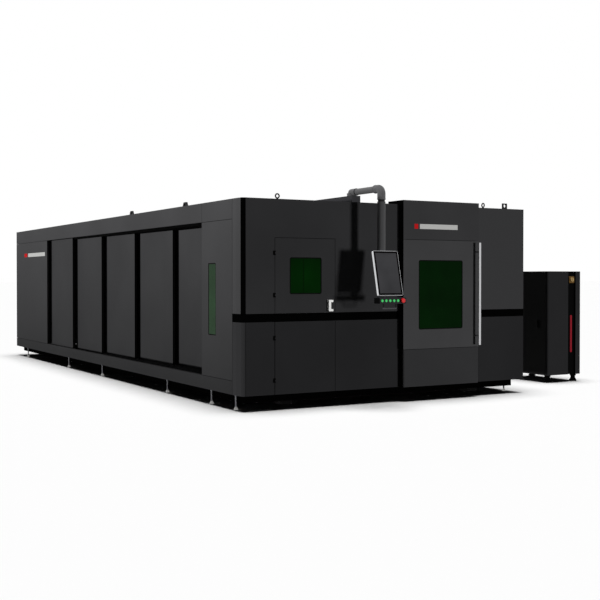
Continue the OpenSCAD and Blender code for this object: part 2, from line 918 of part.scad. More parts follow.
// Folded leaf with a rounded pane cut-out and bored pivot bosses top and bottom
module front_door() {
  z0 = skirt_top + reveal;
  z1 = header_z - reveal;
  color([0.22, 0.22, 0.23])
    difference() {
      union() {
        translate([0, -door_proud, 0]) difference() {
          cassette(door_x, door_end, z0, z1, door_t);
          rounded_pane(door_x + pane_x, pane_w, pane_z, pane_h, -overrun, door_t, cut_corner_r);
        }
        for (z = [z0, z1 - pivot_boss])
          bar([door_x + overrun, overrun - door_proud, z],
              [door_x + 2 * pivot_in, door_t - door_proud - overrun, z + pivot_boss]);
      }
      for (z = [z0 - overrun, z1 - pivot_l])
        translate([door_pivot[0], door_pivot[1], z])
          cylinder(h = pivot_l + overrun, r = pivot_r + pin_play);
    }
}

module door_window() {
  color([0.02, 0.15, 0.03, 0.7]) translate([0, -door_proud, 0])
    rounded_pane(door_x + pane_x - pane_rim, pane_w + 2 * pane_rim, pane_z - pane_rim,
      pane_h + 2 * pane_rim, skin, skin + pane_t);
}

// Full-height round steel pull bar on two posts
module door_pull() {
  x = door_end - pull_in;
  color("silver") {
    translate([x, -door_proud - pull_off, pull_z]) cylinder(h = pull_l, r = pull_d / 2);
    for (z = [pull_z + pull_post_in, pull_z + pull_l - pull_post_in])
      translate([x, -door_proud, z]) rotate([90, 0, 0]) cylinder(h = pull_off, r = pull_post_r);
  }
}

// Telescopic side door

// Closed double-skin leaf with a guide groove along its top and bottom edges
module side_leaf(k) {
  x = leaf_x(k);
  y = leaf_y(k);
  z0 = leaf_z0;
  z1 = head_z - leaf_gap;
  groove_x = x + (leaf_t - groove_w) / 2;
  groove_h = guide_h + play;
  y1 = y + leaf_pitch + leaf_lap;
  color([0.25, 0.25, 0.26])
    difference() {
      bar([x, y, z0], [x + leaf_t, y1, z1]);
      bar([groove_x, y - overrun, z0 - overrun], [groove_x + groove_w, y1 + overrun, sill_top + groove_h]);
      bar([groove_x, y - overrun, head_z - groove_h], [groove_x + groove_w, y1 + overrun, z1 + overrun]);
    }
}

module side_door_leaf_1() {
  side_leaf(1);
}

module side_door_leaf_2() {
  side_leaf(2);
}

module side_door_leaf_3() {
  side_leaf(3);
}

module side_door_leaf_4() {
  side_leaf(4);
}

module side_door_leaf_5() {
  side_leaf(5);
}

// Operator pendant

// Swivel arm: bored collar, cast socket with a ball end, round tube, cast elbow and bored drop collar
module pendant_arm() {
  bend_z = arm_mid_z - elbow_bend;
  elbow_end = tube_y + elbow_bend;
  color([0.3, 0.3, 0.31])
    difference() {
      union() {
        translate([arm_x, arm_base_y, trunk_top + play]) cylinder(h = arm_collar_h, r = arm_collar_r);
        translate([arm_x, arm_base_y, trunk_top + play]) cylinder(h = arm_rise, r = socket_r);
        translate([arm_x, arm_base_y, arm_mid_z]) sphere(socket_r);
        along_arm(arm_base_y - socket_l, arm_base_y, socket_r);
        along_arm(arm_base_y - socket_l, arm_base_y - socket_l + socket_rim_l, socket_r + socket_rim / 2);
        along_arm(elbow_end, arm_base_y, arm_r);
        along_arm(elbow_end, elbow_end + elbow_socket_l, elbow_r);
        along_arm(elbow_end + elbow_socket_l - socket_rim_l, elbow_end + elbow_socket_l,
          elbow_r + socket_rim);
        translate([arm_x, elbow_end, bend_z]) rotate([90, 0, -90])
          rotate_extrude(angle = 90) translate([elbow_bend, 0]) circle(elbow_r);
        translate([arm_x, tube_y, bend_z - drop_collar_h]) cylinder(h = drop_collar_h, r = elbow_r);
        translate([arm_x, tube_y, bend_z - drop_collar_h]) cylinder(h = socket_rim_l, r = drop_collar_r);
      }
      translate([arm_x, arm_base_y, trunk_top])
        cylinder(h = arm_pin_h + 2 * play, r = arm_pin_r + pin_play);
      translate([arm_x, tube_y, bend_z - drop_collar_h - overrun])
        cylinder(h = drop_pin_h + overrun + play, r = drop_pin_r + pin_play);
    }
}

// Round length of the arm at its centre line, from y0 back to y1
module along_arm(y0, y1, r) {
  translate([arm_x, y1, arm_mid_z]) rotate([90, 0, 0]) cylinder(h = y1 - y0, r = r);
}

// Round drop tube with a neck and a swivel spigot
module drop_tube() {
  color([0.3, 0.3, 0.31]) translate([arm_x, tube_y, 0]) {
    translate([0, 0, drop_top - neck_h]) cylinder(h = neck_h, r = neck_r);
    translate([0, 0, drop_top - overrun]) cylinder(h = drop_pin_h + overrun, r = drop_pin_r);
    translate([0, 0, tube_end_z]) cylinder(h = drop_top - neck_h - tube_end_z, r = tube_r);
  }
}

// Space that the drop tube takes, with its clearance
module tube_space() {
  translate([arm_x, tube_y, 0]) cylinder(h = enc_h, r = tube_r + pin_play);
}

module at_monitor() {
  translate([arm_x, monitor_y, monitor_z]) rotate([-monitor_tilt, 0, 0]) children();
}

// Tilted monitor case with a recess for the screen and a bracket that meets the drop tube
module monitor_housing() {
  color([0.55, 0.56, 0.57]) {
    at_monitor() difference() {
      rounded_pane(-monitor_w / 2, monitor_w, -monitor_h / 2, monitor_h, 0, monitor_t);
      bar([bezel - monitor_w / 2, -overrun, bezel - monitor_h / 2],
          [monitor_w / 2 - bezel, screen_t, monitor_h / 2 - bezel]);
    }
    difference() {
      at_monitor() bar([-bracket_w / 2, monitor_t, -bracket_h / 2],
        [bracket_w / 2, monitor_t + monitor_lead + tube_r, bracket_h / 2]);
      bar([arm_x - bracket_w, tube_y - tube_r / 2, monitor_z - monitor_h],
          [arm_x + bracket_w, tube_y + monitor_h, monitor_z + monitor_h]);
      tube_space();
    }
  }
}

module screen() {
  color([0.08, 0.08, 0.09]) at_monitor()
    bar([bezel + play - monitor_w / 2, 0, bezel + play - monitor_h / 2],
        [monitor_w / 2 - bezel - play, screen_t, monitor_h / 2 - bezel - play]);
}

// Operating box under the monitor, with bored seats for its buttons and a grab bar below
module button_box() {
  color([0.25, 0.25, 0.26]) {
    difference() {
      rounded_pane(box_x0, button_box_w, box_z, box_h, box_front, box_front + box_d);
      for (i = [0 : button_count - 1]) button_seat(button_x(i), button_r);
      button_seat(stop_x, stop_neck_r);
    }
    difference() {
      bar([arm_x - box_arm_w / 2, box_front + box_d - overrun, box_z + box_arm_in],
          [arm_x + box_arm_w / 2, tube_y, box_z + box_h - box_arm_in]);
      tube_space();
    }
    for (x = [arm_x - grab_w / 2, arm_x + grab_w / 2])
      translate([x, box_front + box_d / 2, box_z - grab_drop]) {
        cylinder(h = grab_drop + overrun, r = grab_r);
        sphere(grab_r);
      }
    translate([arm_x - grab_w / 2, box_front + box_d / 2, box_z - grab_drop]) rotate([0, 90, 0])
      cylinder(h = grab_w, r = grab_r);
  }
}

module button_seat(x, r) {
  translate([x, box_front + button_hole, button_z]) rotate([90, 0, 0])
    cylinder(h = button_hole + overrun, r = r + pin_play);
}

// Round push button that slides in its seat
module push_button(i) {
  color([0.1, 0.75, 0.25])
    translate([button_x(i), box_front + button_in, button_z]) rotate([90, 0, 0])
      cylinder(h = button_in + button_out, r = button_r);
}

module push_button_1() {
  push_button(0);
}

module push_button_2() {
  push_button(1);
}

module push_button_3() {
  push_button(2);
}

module push_button_4() {
  push_button(3);
}

module push_button_5() {
  push_button(4);
}

// Mushroom head on a round neck
module emergency_stop() {
  color([0.8, 0.05, 0.05])
    translate([stop_x, box_front + button_in, button_z]) rotate([90, 0, 0]) {
      cylinder(h = button_in + stop_out, r = stop_neck_r);
      translate([0, 0, button_in + stop_out]) cylinder(h = stop_h, r1 = stop_r, r2 = stop_r - stop_h / 4);
    }
}

// Cutting unit

// Welded bed: two ribbed side beams, cross members and legs to the floor
module machine_bed() {
  span = bed_y1 - bed_y0 - 2 * beam_pocket_gap;
  pitch = span / beam_pocket_count;
  pocket_z = (beam_z0 + beam_top - beam_pocket_h) / 2;
  color([0.35, 0.36, 0.38]) {
    for (right = [false, true])
      translate([right ? bed_x1 : bed_x0, 0, 0]) mirror([right ? 1 : 0, 0, 0]) {
        difference() {
          bar([0, bed_y0, beam_z0], [beam_w, bed_y1, beam_top]);
          for (i = [0 : beam_pocket_count - 1])
            bar([-overrun, bed_y0 + beam_pocket_gap + i * pitch + beam_pocket_gap / 2, pocket_z],
                [beam_w - beam_web, bed_y0 + beam_pocket_gap + (i + 1) * pitch - beam_pocket_gap / 2,
                 pocket_z + beam_pocket_h]);
        }
        for (i = [0 : bed_leg_count - 1])
          bar([(beam_w - bed_leg) / 2, leg_y(i), 0],
              [(beam_w + bed_leg) / 2, leg_y(i) + bed_leg, beam_z0 - weld_gap]);
      }
    for (i = [0 : bed_leg_count - 1])
      bar([bed_x0 + beam_w + weld_gap, cross_y(i), table_z0 - cross_h],
          [bed_x1 - beam_w - weld_gap, cross_y(i) + cross_w, table_z0]);
  }
}

// Profiled linear rails on both side beams
module guide_rails() {
  color("silver")
    for (x = [bed_x0 + beam_w / 2, bed_x1 - beam_w / 2])
      translate([x, bed_y1 - rail_end_in, beam_top]) rotate([90, 0, 0])
        linear_extrude(bed_y1 - bed_y0 - 2 * rail_end_in) rail_profile();
}

// Rail section with a waist between foot and head
module rail_profile() {
  half = rail_block_w / 2;
  foot_h = rail_h * rail_foot_share;
  neck_h = rail_h * rail_neck_share;
  polygon([
    [-half, 0], [half, 0], [half, foot_h], [half - rail_waist, foot_h + rail_waist],
    [half - rail_waist, neck_h], [half, neck_h + rail_waist], [half, rail_h], [-half, rail_h],
    [-half, neck_h + rail_waist], [rail_waist - half, neck_h], [rail_waist - half, foot_h + rail_waist],
    [-half, foot_h]
  ]);
}

// Magnet tracks of the long axis's linear motors, outside the rails
module magnet_tracks() {
  color([0.6, 0.55, 0.4])
    for (side = [-1, 1])
      translate([bed_mid + side * ((bed_w - beam_w) / 2 + magnet_off), 0, beam_top])
        bar([-magnet_w / 2, bed_y0 + rail_end_in, 0], [magnet_w / 2, bed_y1 - rail_end_in, magnet_h]);
}

// Table frame of welded bars, with notched combs that hold the slats upright
module slat_table() {
  x0 = bed_mid - table_w / 2;
  x1 = bed_mid + table_w / 2;
  comb_z = slat_z0 + comb_h;
  bay_w = (table_w - 3 * table_rail_w) / 2;
  color([0.3, 0.31, 0.33]) {
    bar([bed_mid - table_rail_w / 2, table_y0, table_z0], [bed_mid + table_rail_w / 2, table_y1, slat_z0]);
    for (x = [x0 + table_rail_w, x1 - table_rail_w - bay_w], y = [table_y0, table_y1 - table_rail_w])
      bar([x + weld_gap, y, table_z0], [x + bay_w - weld_gap, y + table_rail_w, slat_z0]);
    difference() {
      for (side = [[x0, x0], [x1 - table_rail_w, x1 - comb_t]]) {
        bar([side[0], table_y0, table_z0], [side[0] + table_rail_w, table_y1, slat_z0]);
        bar([side[1], table_y0, slat_z0 - overrun], [side[1] + comb_t, table_y1, comb_z]);
      }
      for (i = [0 : slat_count - 1], x = [x0, x1 - comb_t])
        bar([x - overrun, slat_y0 + i * slat_pitch - slat_t / 2 - play, slat_z0],
            [x + comb_t + overrun, slat_y0 + i * slat_pitch + slat_t / 2 + play, comb_z + overrun]);
    }
  }
}

// Thin support slats with sawtooth upper edges
module cutting_slats() {
  x0 = bed_mid - table_w / 2;
  tooth_w = table_w / slat_teeth;
  color([0.4, 0.38, 0.36])
    for (i = [0 : slat_count - 1])
      translate([x0, slat_y0 + i * slat_pitch + slat_t / 2, slat_z0]) rotate([90, 0, 0])
        linear_extrude(slat_t)
          polygon(concat(
            [[table_w, 0], [0, 0]],
            [for (t = [0 : slat_teeth - 1], half = [0, 1])
              [(t + half / 2) * tooth_w, half == 0 ? slat_h - slat_tooth : slat_h]],
            [[table_w, slat_h - slat_tooth]]
          ));
}

// Open sheet trays on the frame's cross ties that catch parts and slag
module scrap_trays() {
  x0 = bed_x0 + beam_w + tray_in;
  x1 = bed_x1 - beam_w - tray_in;
  color([0.3, 0.3, 0.3])
    for (i = [0 : tray_count - 1]) {
      y0 = leg_y(i) + bed_leg + post / 2 + reveal;
      y1 = leg_y(i + 1) + bed_leg + post / 2 - reveal;
      difference() {
        bar([x0, y0, floor_gap], [x1, y1, floor_gap + tray_h]);
        bar([x0 + tray_wall, y0 + tray_wall, floor_gap + tray_wall],
            [x1 - tray_wall, y1 - tray_wall, floor_gap + tray_h + overrun]);
      }
    }
}

// Cross beam on two legs, with the rails that the head carriage rides on
module gantry_beam() {
  x0 = bed_x0 - gantry_over;
  x1 = bed_x1 + gantry_over;
  half = gantry_d / 2;
  top = gantry_h;
  color([0.45, 0.46, 0.48]) {
    translate([x0, gantry_y, gantry_z]) rotate([90, 0, 90]) linear_extrude(x1 - x0)
      polygon([
        [-half, 0], [half - gantry_chamfer, 0], [half, gantry_chamfer], [half, top - gantry_chamfer],
        [half - gantry_chamfer, top], [-half, top]
      ]);
    for (x = [bed_x0, bed_x1 - beam_w])
      translate([x + beam_w, gantry_y, leg_z]) rotate([90, 0, -90]) linear_extrude(beam_w)
        polygon([
          [-leg_l / 2, 0], [leg_l / 2, 0], [leg_l / 2, leg_h / 2], [half - gantry_chamfer, leg_h],
          [gantry_chamfer - half, leg_h], [-leg_l / 2, leg_h / 2]
        ]);
    for (z = beam_rail_zs)
      bar([x0 + rail_end_in, gantry_front - beam_rail_d, z],
          [x1 - rail_end_in, gantry_front, z + beam_rail_w]);
  }
}

// Guide blocks on the long rails and the motor coils over the magnet tracks
module linear_motors() {
  color([0.2, 0.25, 0.3])
    for (side = [-1, 1])
      translate([bed_mid + side * (bed_w - beam_w) / 2, gantry_y, 0]) {
        for (y = [-leg_l / 2, leg_l / 2 - block_l])
          difference() {
            bar([-block_w / 2, y, leg_z - block_h], [block_w / 2, y + block_l, leg_z]);
            bar([-rail_block_w / 2 - play, y - overrun, leg_z - block_h - overrun],
                [rail_block_w / 2 + play, y + block_l + overrun, rail_top + play]);
          }
        translate([side * magnet_off, 0, 0])
          bar([-magnet_w / 2, -motor_l / 2, beam_top + magnet_h + motor_air],
              [magnet_w / 2, motor_l / 2, leg_z]);
      }
}

// Saddle on the beam's rails, with two upright guide bars for the head's slide
module head_carriage() {
  z1 = carriage_z0 + carriage_h;
  color([0.5, 0.51, 0.53])
    translate([head_x, carriage_y, 0]) {
      bar([-carriage_w / 2, 0, carriage_z0], [carriage_w / 2, carriage_t, z1]);
      for (z = beam_rail_zs) {
        rail_shoe(z - carriage_shoe, z - play);
        rail_shoe(z + beam_rail_w + play, z + beam_rail_w + carriage_shoe);
      }
      for (x = [-guide_bar_off, guide_bar_off])
        bar([x - guide_bar_w / 2, -guide_bar_d, carriage_z0], [x + guide_bar_w / 2, overrun, z1]);
    }
}

module rail_shoe(z0, z1) {
  bar([-carriage_w / 2, carriage_t - overrun, z0], [carriage_w / 2, carriage_t + carriage_back - play, z1]);
}

// Cutting head on its upright slide: housing, lens tube, cone and nozzle
module cutting_head() {
  groove_y = carriage_y - guide_bar_d - play;
  color([0.15, 0.3, 0.55])
    translate([head_x, 0, 0]) {
      difference() {
        bar([-slide_w / 2, groove_y - slide_t, slide_z0], [slide_w / 2, carriage_y - play, slide_z1]);
        for (x = [-guide_bar_off, guide_bar_off])
          bar([x - guide_bar_w / 2 - play, groove_y, slide_z0 - overrun],
              [x + guide_bar_w / 2 + play, carriage_y + overrun, slide_z1 + overrun]);
      }
      bar([-head_body / 2, head_y - head_body / 2, head_body_z0],
          [head_body / 2, groove_y - slide_t + overrun, head_body_z1]);
      translate([0, head_y, 0]) {
        translate([0, 0, head_lens_z0]) cylinder(h = head_lens_h + overrun, r = head_lens_r);
        translate([0, 0, head_cone_z0]) cylinder(h = head_cone_h, r1 = head_tip_r, r2 = head_lens_r);
        translate([0, 0, nozzle_z0]) cylinder(h = nozzle_h, r1 = nozzle_tip_r, r2 = nozzle_r);
      }
    }
}

// Power cabinet

// Cabinet shell, open on its left side, with a full-height channel in its front
module cabinet_body() {
  top = cab_h - cab_foot_h;
  color([0.16, 0.16, 0.17])
    difference() {
      translate([cab_x, cab_y, cab_foot_h]) linear_extrude(top) {
        translate([0, cab_edge_r]) square([cab_w, cab_d - cab_edge_r]);
        translate([cab_edge_r, 0]) square([cab_w - cab_edge_r, cab_edge_r + overrun]);
        translate([cab_edge_r, cab_edge_r]) circle(cab_edge_r);
      }
      bar([cab_x - overrun, cab_y + cab_front_t, cab_foot_h + shell],
          [cab_x + cab_w - shell, cab_y + cab_d - shell, cab_h - shell]);
      bar([cab_x + channel_x, cab_y - overrun, cab_foot_h - overrun],
          [cab_x + channel_x + channel_w, cab_y + channel_d, cab_h + overrun]);
    }
  color([0.1, 0.1, 0.1])
    for (z = [cab_foot_h + shell - overrun, cab_h - shell - cab_pin_l])
      translate([cab_pivot[0], cab_pivot[1], z]) cylinder(h = cab_pin_l + overrun, r = cab_pin_r);
}

module cabinet_feet() {
  color([0.05, 0.05, 0.05])
    for (x = [cab_foot_in, cab_w - cab_foot_in], y = [cab_foot_in, cab_d - cab_foot_in])
      translate([cab_x + x, cab_y + y, 0]) {
        cylinder(h = cab_foot_pad, r1 = cab_foot_r, r2 = cab_foot_r - cab_foot_stem_r / 2);
        cylinder(h = cab_foot_h, r = cab_foot_stem_r);
      }
}

// Flush side door of the cabinet with a recessed grip and bored pivot bosses
module cabinet_door() {
  z0 = cab_foot_h + shell + leaf_gap;
  z1 = cab_h - shell - leaf_gap;
  color([0.04, 0.04, 0.04])
    difference() {
      union() {
        translate([cab_x, 0, 0]) on_left_side() cassette(cab_door_y0, cab_door_y1, z0, z1, cab_door_t);
        bar([cab_x + overrun, grip_y - skin, grip_z - skin],
            [cab_x + grip_d + skin, grip_y + grip_w + skin, grip_z + grip_h + skin]);
        for (z = [z0, z1 - cab_boss])
          bar([cab_x + overrun, cab_door_y1 - 2 * cab_pin_in, z],
              [cab_x + cab_door_t, cab_door_y1 - overrun, z + cab_boss]);
      }
      bar([cab_x - overrun, grip_y, grip_z], [cab_x + grip_d, grip_y + grip_w, grip_z + grip_h]);
      for (z = [z0 - overrun, z1 - cab_pin_l])
        translate([cab_pivot[0], cab_pivot[1], z])
          cylinder(h = cab_pin_l + overrun, r = cab_pin_r + pin_play);
    }
}

// Yellow plate of the main switch, seated in the channel
module switch_plate() {
  color("gold")
    difference() {
      rounded_pane(channel_mid - switch_w / 2, switch_w, switch_z - switch_w / 2, switch_w,
        channel_floor - switch_t, channel_floor);
      translate([channel_mid, channel_floor + overrun, switch_z]) rotate([90, 0, 0])
        cylinder(h = switch_t + 2 * overrun, r = knob_shaft_r + pin_play);
    }
}

// Turning handle of the main switch
module switch_knob() {
  color([0.85, 0.3, 0.05])
    translate([channel_mid, channel_floor - switch_t - play, switch_z]) rotate([90, 0, 0]) {
      cylinder(h = knob_t, r = knob_r);
      translate([0, 0, -knob_shaft_l]) cylinder(h = knob_shaft_l + overrun, r = knob_shaft_r);
      bar([-knob_grip_w / 2, -knob_r, 0], [knob_grip_w / 2, knob_r, knob_grip_d]);
    }
}

// Red status light bar in the channel
module cabinet_light() {
  color([0.9, 0.05, 0.05])
    rounded_pane(channel_mid - light_w / 2, light_w, light_z, light_h, channel_floor - light_t,
      channel_floor, light_w / 4);
}

// Laser source on a plinth inside the cabinet, with a front flange towards the door
module laser_source() {
  x0 = cab_x + cab_w - shell - source_in - source_w;
  y0 = cab_y + (cab_d - source_d) / 2;
  z0 = cab_foot_h + shell;
  case_z0 = z0 + source_rack_h;
  case_z1 = case_z0 + source_h;
  color([0.75, 0.76, 0.78]) {
    bar([x0, y0, case_z0], [x0 + source_w, y0 + source_d, case_z1]);
    bar([x0 - source_flange_t, y0 - source_flange, case_z0 - source_flange],
        [x0 + overrun, y0 + source_d + source_flange, case_z1 + source_flange]);
    bar([x0 + source_in, y0 + source_in, z0],
        [x0 + source_w - source_in, y0 + source_d - source_in, case_z0 + overrun]);
  }
}

place() enclosure_frame();
place() levelling_feet();
place() corner_post();
place() side_bands();
place() side_end_panels();
place() slit_window();
place() side_door_rails();
place() front_upper_panel();
place() front_infill_panels();
place() trim_band();
place() door_header();
place() door_skirt();
place() door_frame();
place() right_wall();
place() rear_wall();
place() roof();
place() lifting_eyes();
place() roof_trunk();
place() fume_outlet();
place() hatch_hinges();
place() machine_bed();
place() guide_rails();
place() magnet_tracks();
place() slat_table();
place() cutting_slats();
place() scrap_trays();
place() cabinet_body();
place() cabinet_feet();
place() cabinet_light();
place() switch_plate();
place() laser_source();
place() side_door_leaf_1();
place() side_door_leaf_2();
place() side_door_leaf_3();
place() side_door_leaf_4();
place() side_door_leaf_5();
place() hatch_door();
place() hatch_window();
place() hatch_handle();
place() lower_hatch();
place() front_door();
place() door_window();
place() door_pull();
place() pendant_arm();
place() drop_tube();
place() monitor_housing();
place() screen();
place() button_box();
place() push_button_1();
place() push_button_2();
place() push_button_3();
place() push_button_4();
place() push_button_5();
place() emergency_stop();
place() gantry_beam();
place() linear_motors();
place() head_carriage();
place() cutting_head();
place() cabinet_door();
place() switch_knob();
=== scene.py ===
import math

import bmesh
import bpy
import numpy as np
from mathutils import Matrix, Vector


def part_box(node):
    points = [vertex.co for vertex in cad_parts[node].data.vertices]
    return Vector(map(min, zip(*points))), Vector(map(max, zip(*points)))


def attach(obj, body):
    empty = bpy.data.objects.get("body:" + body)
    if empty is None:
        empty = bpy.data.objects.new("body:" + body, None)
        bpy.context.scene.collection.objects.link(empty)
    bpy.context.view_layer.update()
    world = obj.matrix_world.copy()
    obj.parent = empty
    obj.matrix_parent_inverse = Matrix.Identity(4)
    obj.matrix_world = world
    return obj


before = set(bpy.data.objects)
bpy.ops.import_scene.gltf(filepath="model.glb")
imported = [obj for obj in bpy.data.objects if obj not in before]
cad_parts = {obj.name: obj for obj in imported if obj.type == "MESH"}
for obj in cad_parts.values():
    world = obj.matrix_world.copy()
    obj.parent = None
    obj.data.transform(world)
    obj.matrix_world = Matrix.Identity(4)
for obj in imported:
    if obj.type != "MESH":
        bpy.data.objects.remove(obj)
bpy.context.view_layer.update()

# Welded tube frame and levelling feet.
# Square steel tube, sprayed with dark powder and baked; it carries every panel.
# Threaded zinc studs with grey nylon pads stand under tabs along both long sides.
X, Y, Z = 0, 1, 2


def tone(red, green, blue):
    """Screen levels from 0 to 255 as a shader's linear colour: the 2.4 power above a short straight toe."""
    level = np.array([red, green, blue]) / 255
    linear = np.where(level < 0.04045, level / 12.92, ((level + 0.055) / 1.055) ** 2.4)
    return (*(float(c) for c in linear), 1.0)


def times(colour, share):
    """The same colour at a share of its strength."""
    return (colour[0] * share, colour[1] * share, colour[2] * share, 1.0)


def put(tree, kind, sockets, **settings):
    """Adds one shader node. A socket takes a plain number or colour, or another node's output, which is linked."""
    made = tree.nodes.new("ShaderNode" + kind)
    for name, value in settings.items():
        setattr(made, name, value)
    for name, value in sockets.items():
        if isinstance(value, bpy.types.NodeSocket):
            tree.links.new(value, made.inputs[name])
        else:
            made.inputs[name].default_value = value
    return made


def worked(tree, operation, first, second, **settings):
    """One sum or comparison of two values."""
    return put(tree, "Math", {0: first, 1: second}, operation=operation, **settings).outputs[0]


def span(tree, value, low, high, to_low=0.0, to_high=1.0):
    """Straight-line change of a value from one range to another, held at both ends."""
    ranges = {"Value": value, "From Min": low, "From Max": high, "To Min": to_low, "To Max": to_high}
    return put(tree, "MapRange", ranges).outputs[0]


def noise(tree, place, scale, detail):
    """Smooth noise between 0 and 1, mostly within 0.3 and 0.7, with about scale humps to the metre."""
    return put(tree, "TexNoise", {"Vector": place, "Scale": scale, "Detail": detail}).outputs[0]


def spread(tree, hump, low=0.0, high=1.0):
    """The main run of a noise, from 0.3 to 0.7, drawn out to a range."""
    return span(tree, hump, 0.3, 0.7, low, high)


def mixed(tree, share, first, second):
    """Colour that lies a share of the way from the first to the second: sockets 6, 7 and 2 are the colour ones."""
    return put(tree, "Mix", {0: share, 6: first, 7: second}, data_type="RGBA").outputs[2]


def scaled(tree, shade, share):
    """A colour times a share that changes over the piece."""
    return put(tree, "VectorMath", {0: shade, "Scale": share}, operation="SCALE").outputs[0]


def height(tree, place):
    """The place's height over the floor."""
    return put(tree, "SeparateXYZ", {0: place}).outputs[Z]


def within(tree, place, limits):
    """1 where the place lies between the limits given for each named axis, else 0."""
    inside = 1.0
    coordinates = put(tree, "SeparateXYZ", {0: place}).outputs
    for axis, (low, high) in limits.items():
        inside = worked(tree, "MULTIPLY", inside, worked(tree, "GREATER_THAN", coordinates[axis], low))
        inside = worked(tree, "MULTIPLY", inside, worked(tree, "LESS_THAN", coordinates[axis], high))
    return inside


def patched(tree, place, shade, patches):
    """Lays patches over a shade. Each is (limits, colour), a stretch of the piece in another tone."""
    for limits, other in patches:
        shade = mixed(tree, within(tree, place, limits), shade, other)
    return shade


def bare_finish(name):
    """New material: itself, its node tree, its shader's sockets and the place on the piece."""
    made = bpy.data.materials.new(name)
    made.use_nodes = True
    tree = made.node_tree
    place = put(tree, "TexCoord", {}).outputs["Object"]
    return made, tree, tree.nodes["Principled BSDF"].inputs, place


def powder_coat(name, colour, rough=0.75, gloss=0.012, patches=(), painted_shade_fall=1.0):
    """Baked powder: slow clouding of the tone over a panel, fine grain in it, and the melt's orange peel as bump.
    Fall is the share of the tone kept near the floor, a painted shade that darkens the piece downwards; it rises to 1
    at the top."""
    fall_low, fall_high, peel_depth = 0.2, 2.4, 0.0004
    made, tree, sockets, place = bare_finish(name)
    cloud = noise(tree, place, scale=0.8, detail=3.0)
    grain = noise(tree, place, scale=380.0, detail=1.0)
    share = worked(tree, "ADD", spread(tree, cloud), spread(tree, grain, -0.2, 0.2))
    shade = mixed(tree, share, times(colour, 0.88), times(colour, 1.12))
    # Painted shade: the tone darkens towards the floor.
    if painted_shade_fall < 1.0:
        shade = scaled(tree, shade, span(tree, height(tree, place), fall_low, fall_high, painted_shade_fall, 1.0))
    peel = put(tree, "Bump", {"Height": grain, "Strength": 0.15, "Distance": peel_depth})
    tree.links.new(patched(tree, place, shade, patches), sockets["Base Color"])
    tree.links.new(spread(tree, cloud, rough - 0.06, rough + 0.06), sockets["Roughness"])
    tree.links.new(peel.outputs[0], sockets["Normal"])
    sockets["Specular IOR Level"].default_value = gloss
    return made


def plated_steel(name, colour, rough, pad=None):
    """Zinc-plated or bare steel: a spangle of cells in the tone and fine scuffs in the roughness.
    Pad is (limits, colour), a moulded stretch that is not metal."""
    made, tree, sockets, place = bare_finish(name)
    cells = put(tree, "TexVoronoi", {"Vector": place, "Scale": 60.0}).outputs["Color"]
    spangle = put(tree, "SeparateColor", {0: cells}).outputs[0]
    scuffs = noise(tree, place, scale=25.0, detail=6.0)
    shade = mixed(tree, spangle, times(colour, 0.85), times(colour, 1.1))
    sockets["Metallic"].default_value = 1.0
    if pad:
        inside = within(tree, place, pad[0])
        shade = mixed(tree, inside, shade, pad[1])
        tree.links.new(worked(tree, "SUBTRACT", 1.0, inside), sockets["Metallic"])
    tree.links.new(shade, sockets["Base Color"])
    tree.links.new(spread(tree, scuffs, rough - 0.1, rough + 0.1), sockets["Roughness"])
    return made


def dress(finish, *nodes):
    """Gives CAD nodes a finish in their own material slot."""
    for name in nodes:
        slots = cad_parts[name].data.materials
        slots.clear()
        slots.append(finish)


beyond = 0.01  # how far a patch reaches past the edge of its piece
base_top, pad_top = 0.1805, 0.034
# Painted shade: below the panels the frame is black, for the shade under the machine.
base_painted_shade = ({Z: (0.0, base_top)}, tone(2, 2, 2))
foot_pad = ({Z: (-beyond, pad_top)}, tone(150, 150, 148))
dress(powder_coat("frame_coat", tone(30, 30, 32), rough=0.85, gloss=0.0, patches=[base_painted_shade]), "enclosure_frame")
dress(plated_steel("foot_zinc", tone(108, 109, 112), rough=0.45, pad=foot_pad), "levelling_feet")

# Welded bed with its profiled rails and magnet tracks.
# Box beams of plate, stress relieved, milled on top and sprayed in machine grey; below 0.32 m they are painted black,
# as painted shade under the machine.
# The ground rails and the epoxy-cast magnet tracks are screwed to the milled tops.
# Painted shade: the bed is black below this height.
painted_shade_top = 0.32
bed_painted_shade = ({Z: (-beyond, painted_shade_top)}, tone(6, 6, 6))
bed_coat = powder_coat("bed_coat", tone(96, 100, 106), rough=0.6, gloss=0.12, patches=[bed_painted_shade])
dress(bed_coat, "machine_bed", "slat_table")
dress(plated_steel("ground_rail", tone(200, 202, 206), rough=0.25), "guide_rails")
dress(powder_coat("magnet_epoxy_coat", tone(150, 138, 108), rough=0.4, gloss=0.35), "magnet_tracks")

# Cutting slats and scrap trays.
# Thin plate slats, cut with teeth and dropped into combs; the teeth are burnt by use.
# Folded sheet trays below catch the slag.
burnt = tone(46, 38, 34)
teeth_low, teeth_high = 0.74, 0.80
tray_rim, tray_floor = 0.42, 0.10


def burnt_steel(name, colour, clean, black):
    """Bare plate that turns brown and black by use.
    The share of burn is the height's way from clean to black, broken up by noise."""
    made, tree, sockets, place = bare_finish(name)
    stain = noise(tree, place, scale=14.0, detail=6.0)
    way = span(tree, height(tree, place), clean, black)
    ragged = worked(tree, "ADD", way, spread(tree, stain, -0.3, 0.3), use_clamp=True)
    warm = mixed(tree, stain, times(colour, 0.75), colour)
    tree.links.new(mixed(tree, ragged, warm, burnt), sockets["Base Color"])
    tree.links.new(spread(tree, stain, 0.42, 0.65), sockets["Roughness"])
    tree.links.new(span(tree, ragged, 0.0, 1.0, 0.9, 0.2), sockets["Metallic"])
    return made


dress(burnt_steel("slat_plate", tone(150, 144, 138), teeth_low, teeth_high), "cutting_slats")
dress(burnt_steel("tray_sheet", tone(120, 116, 112), tray_rim, tray_floor), "scrap_trays")

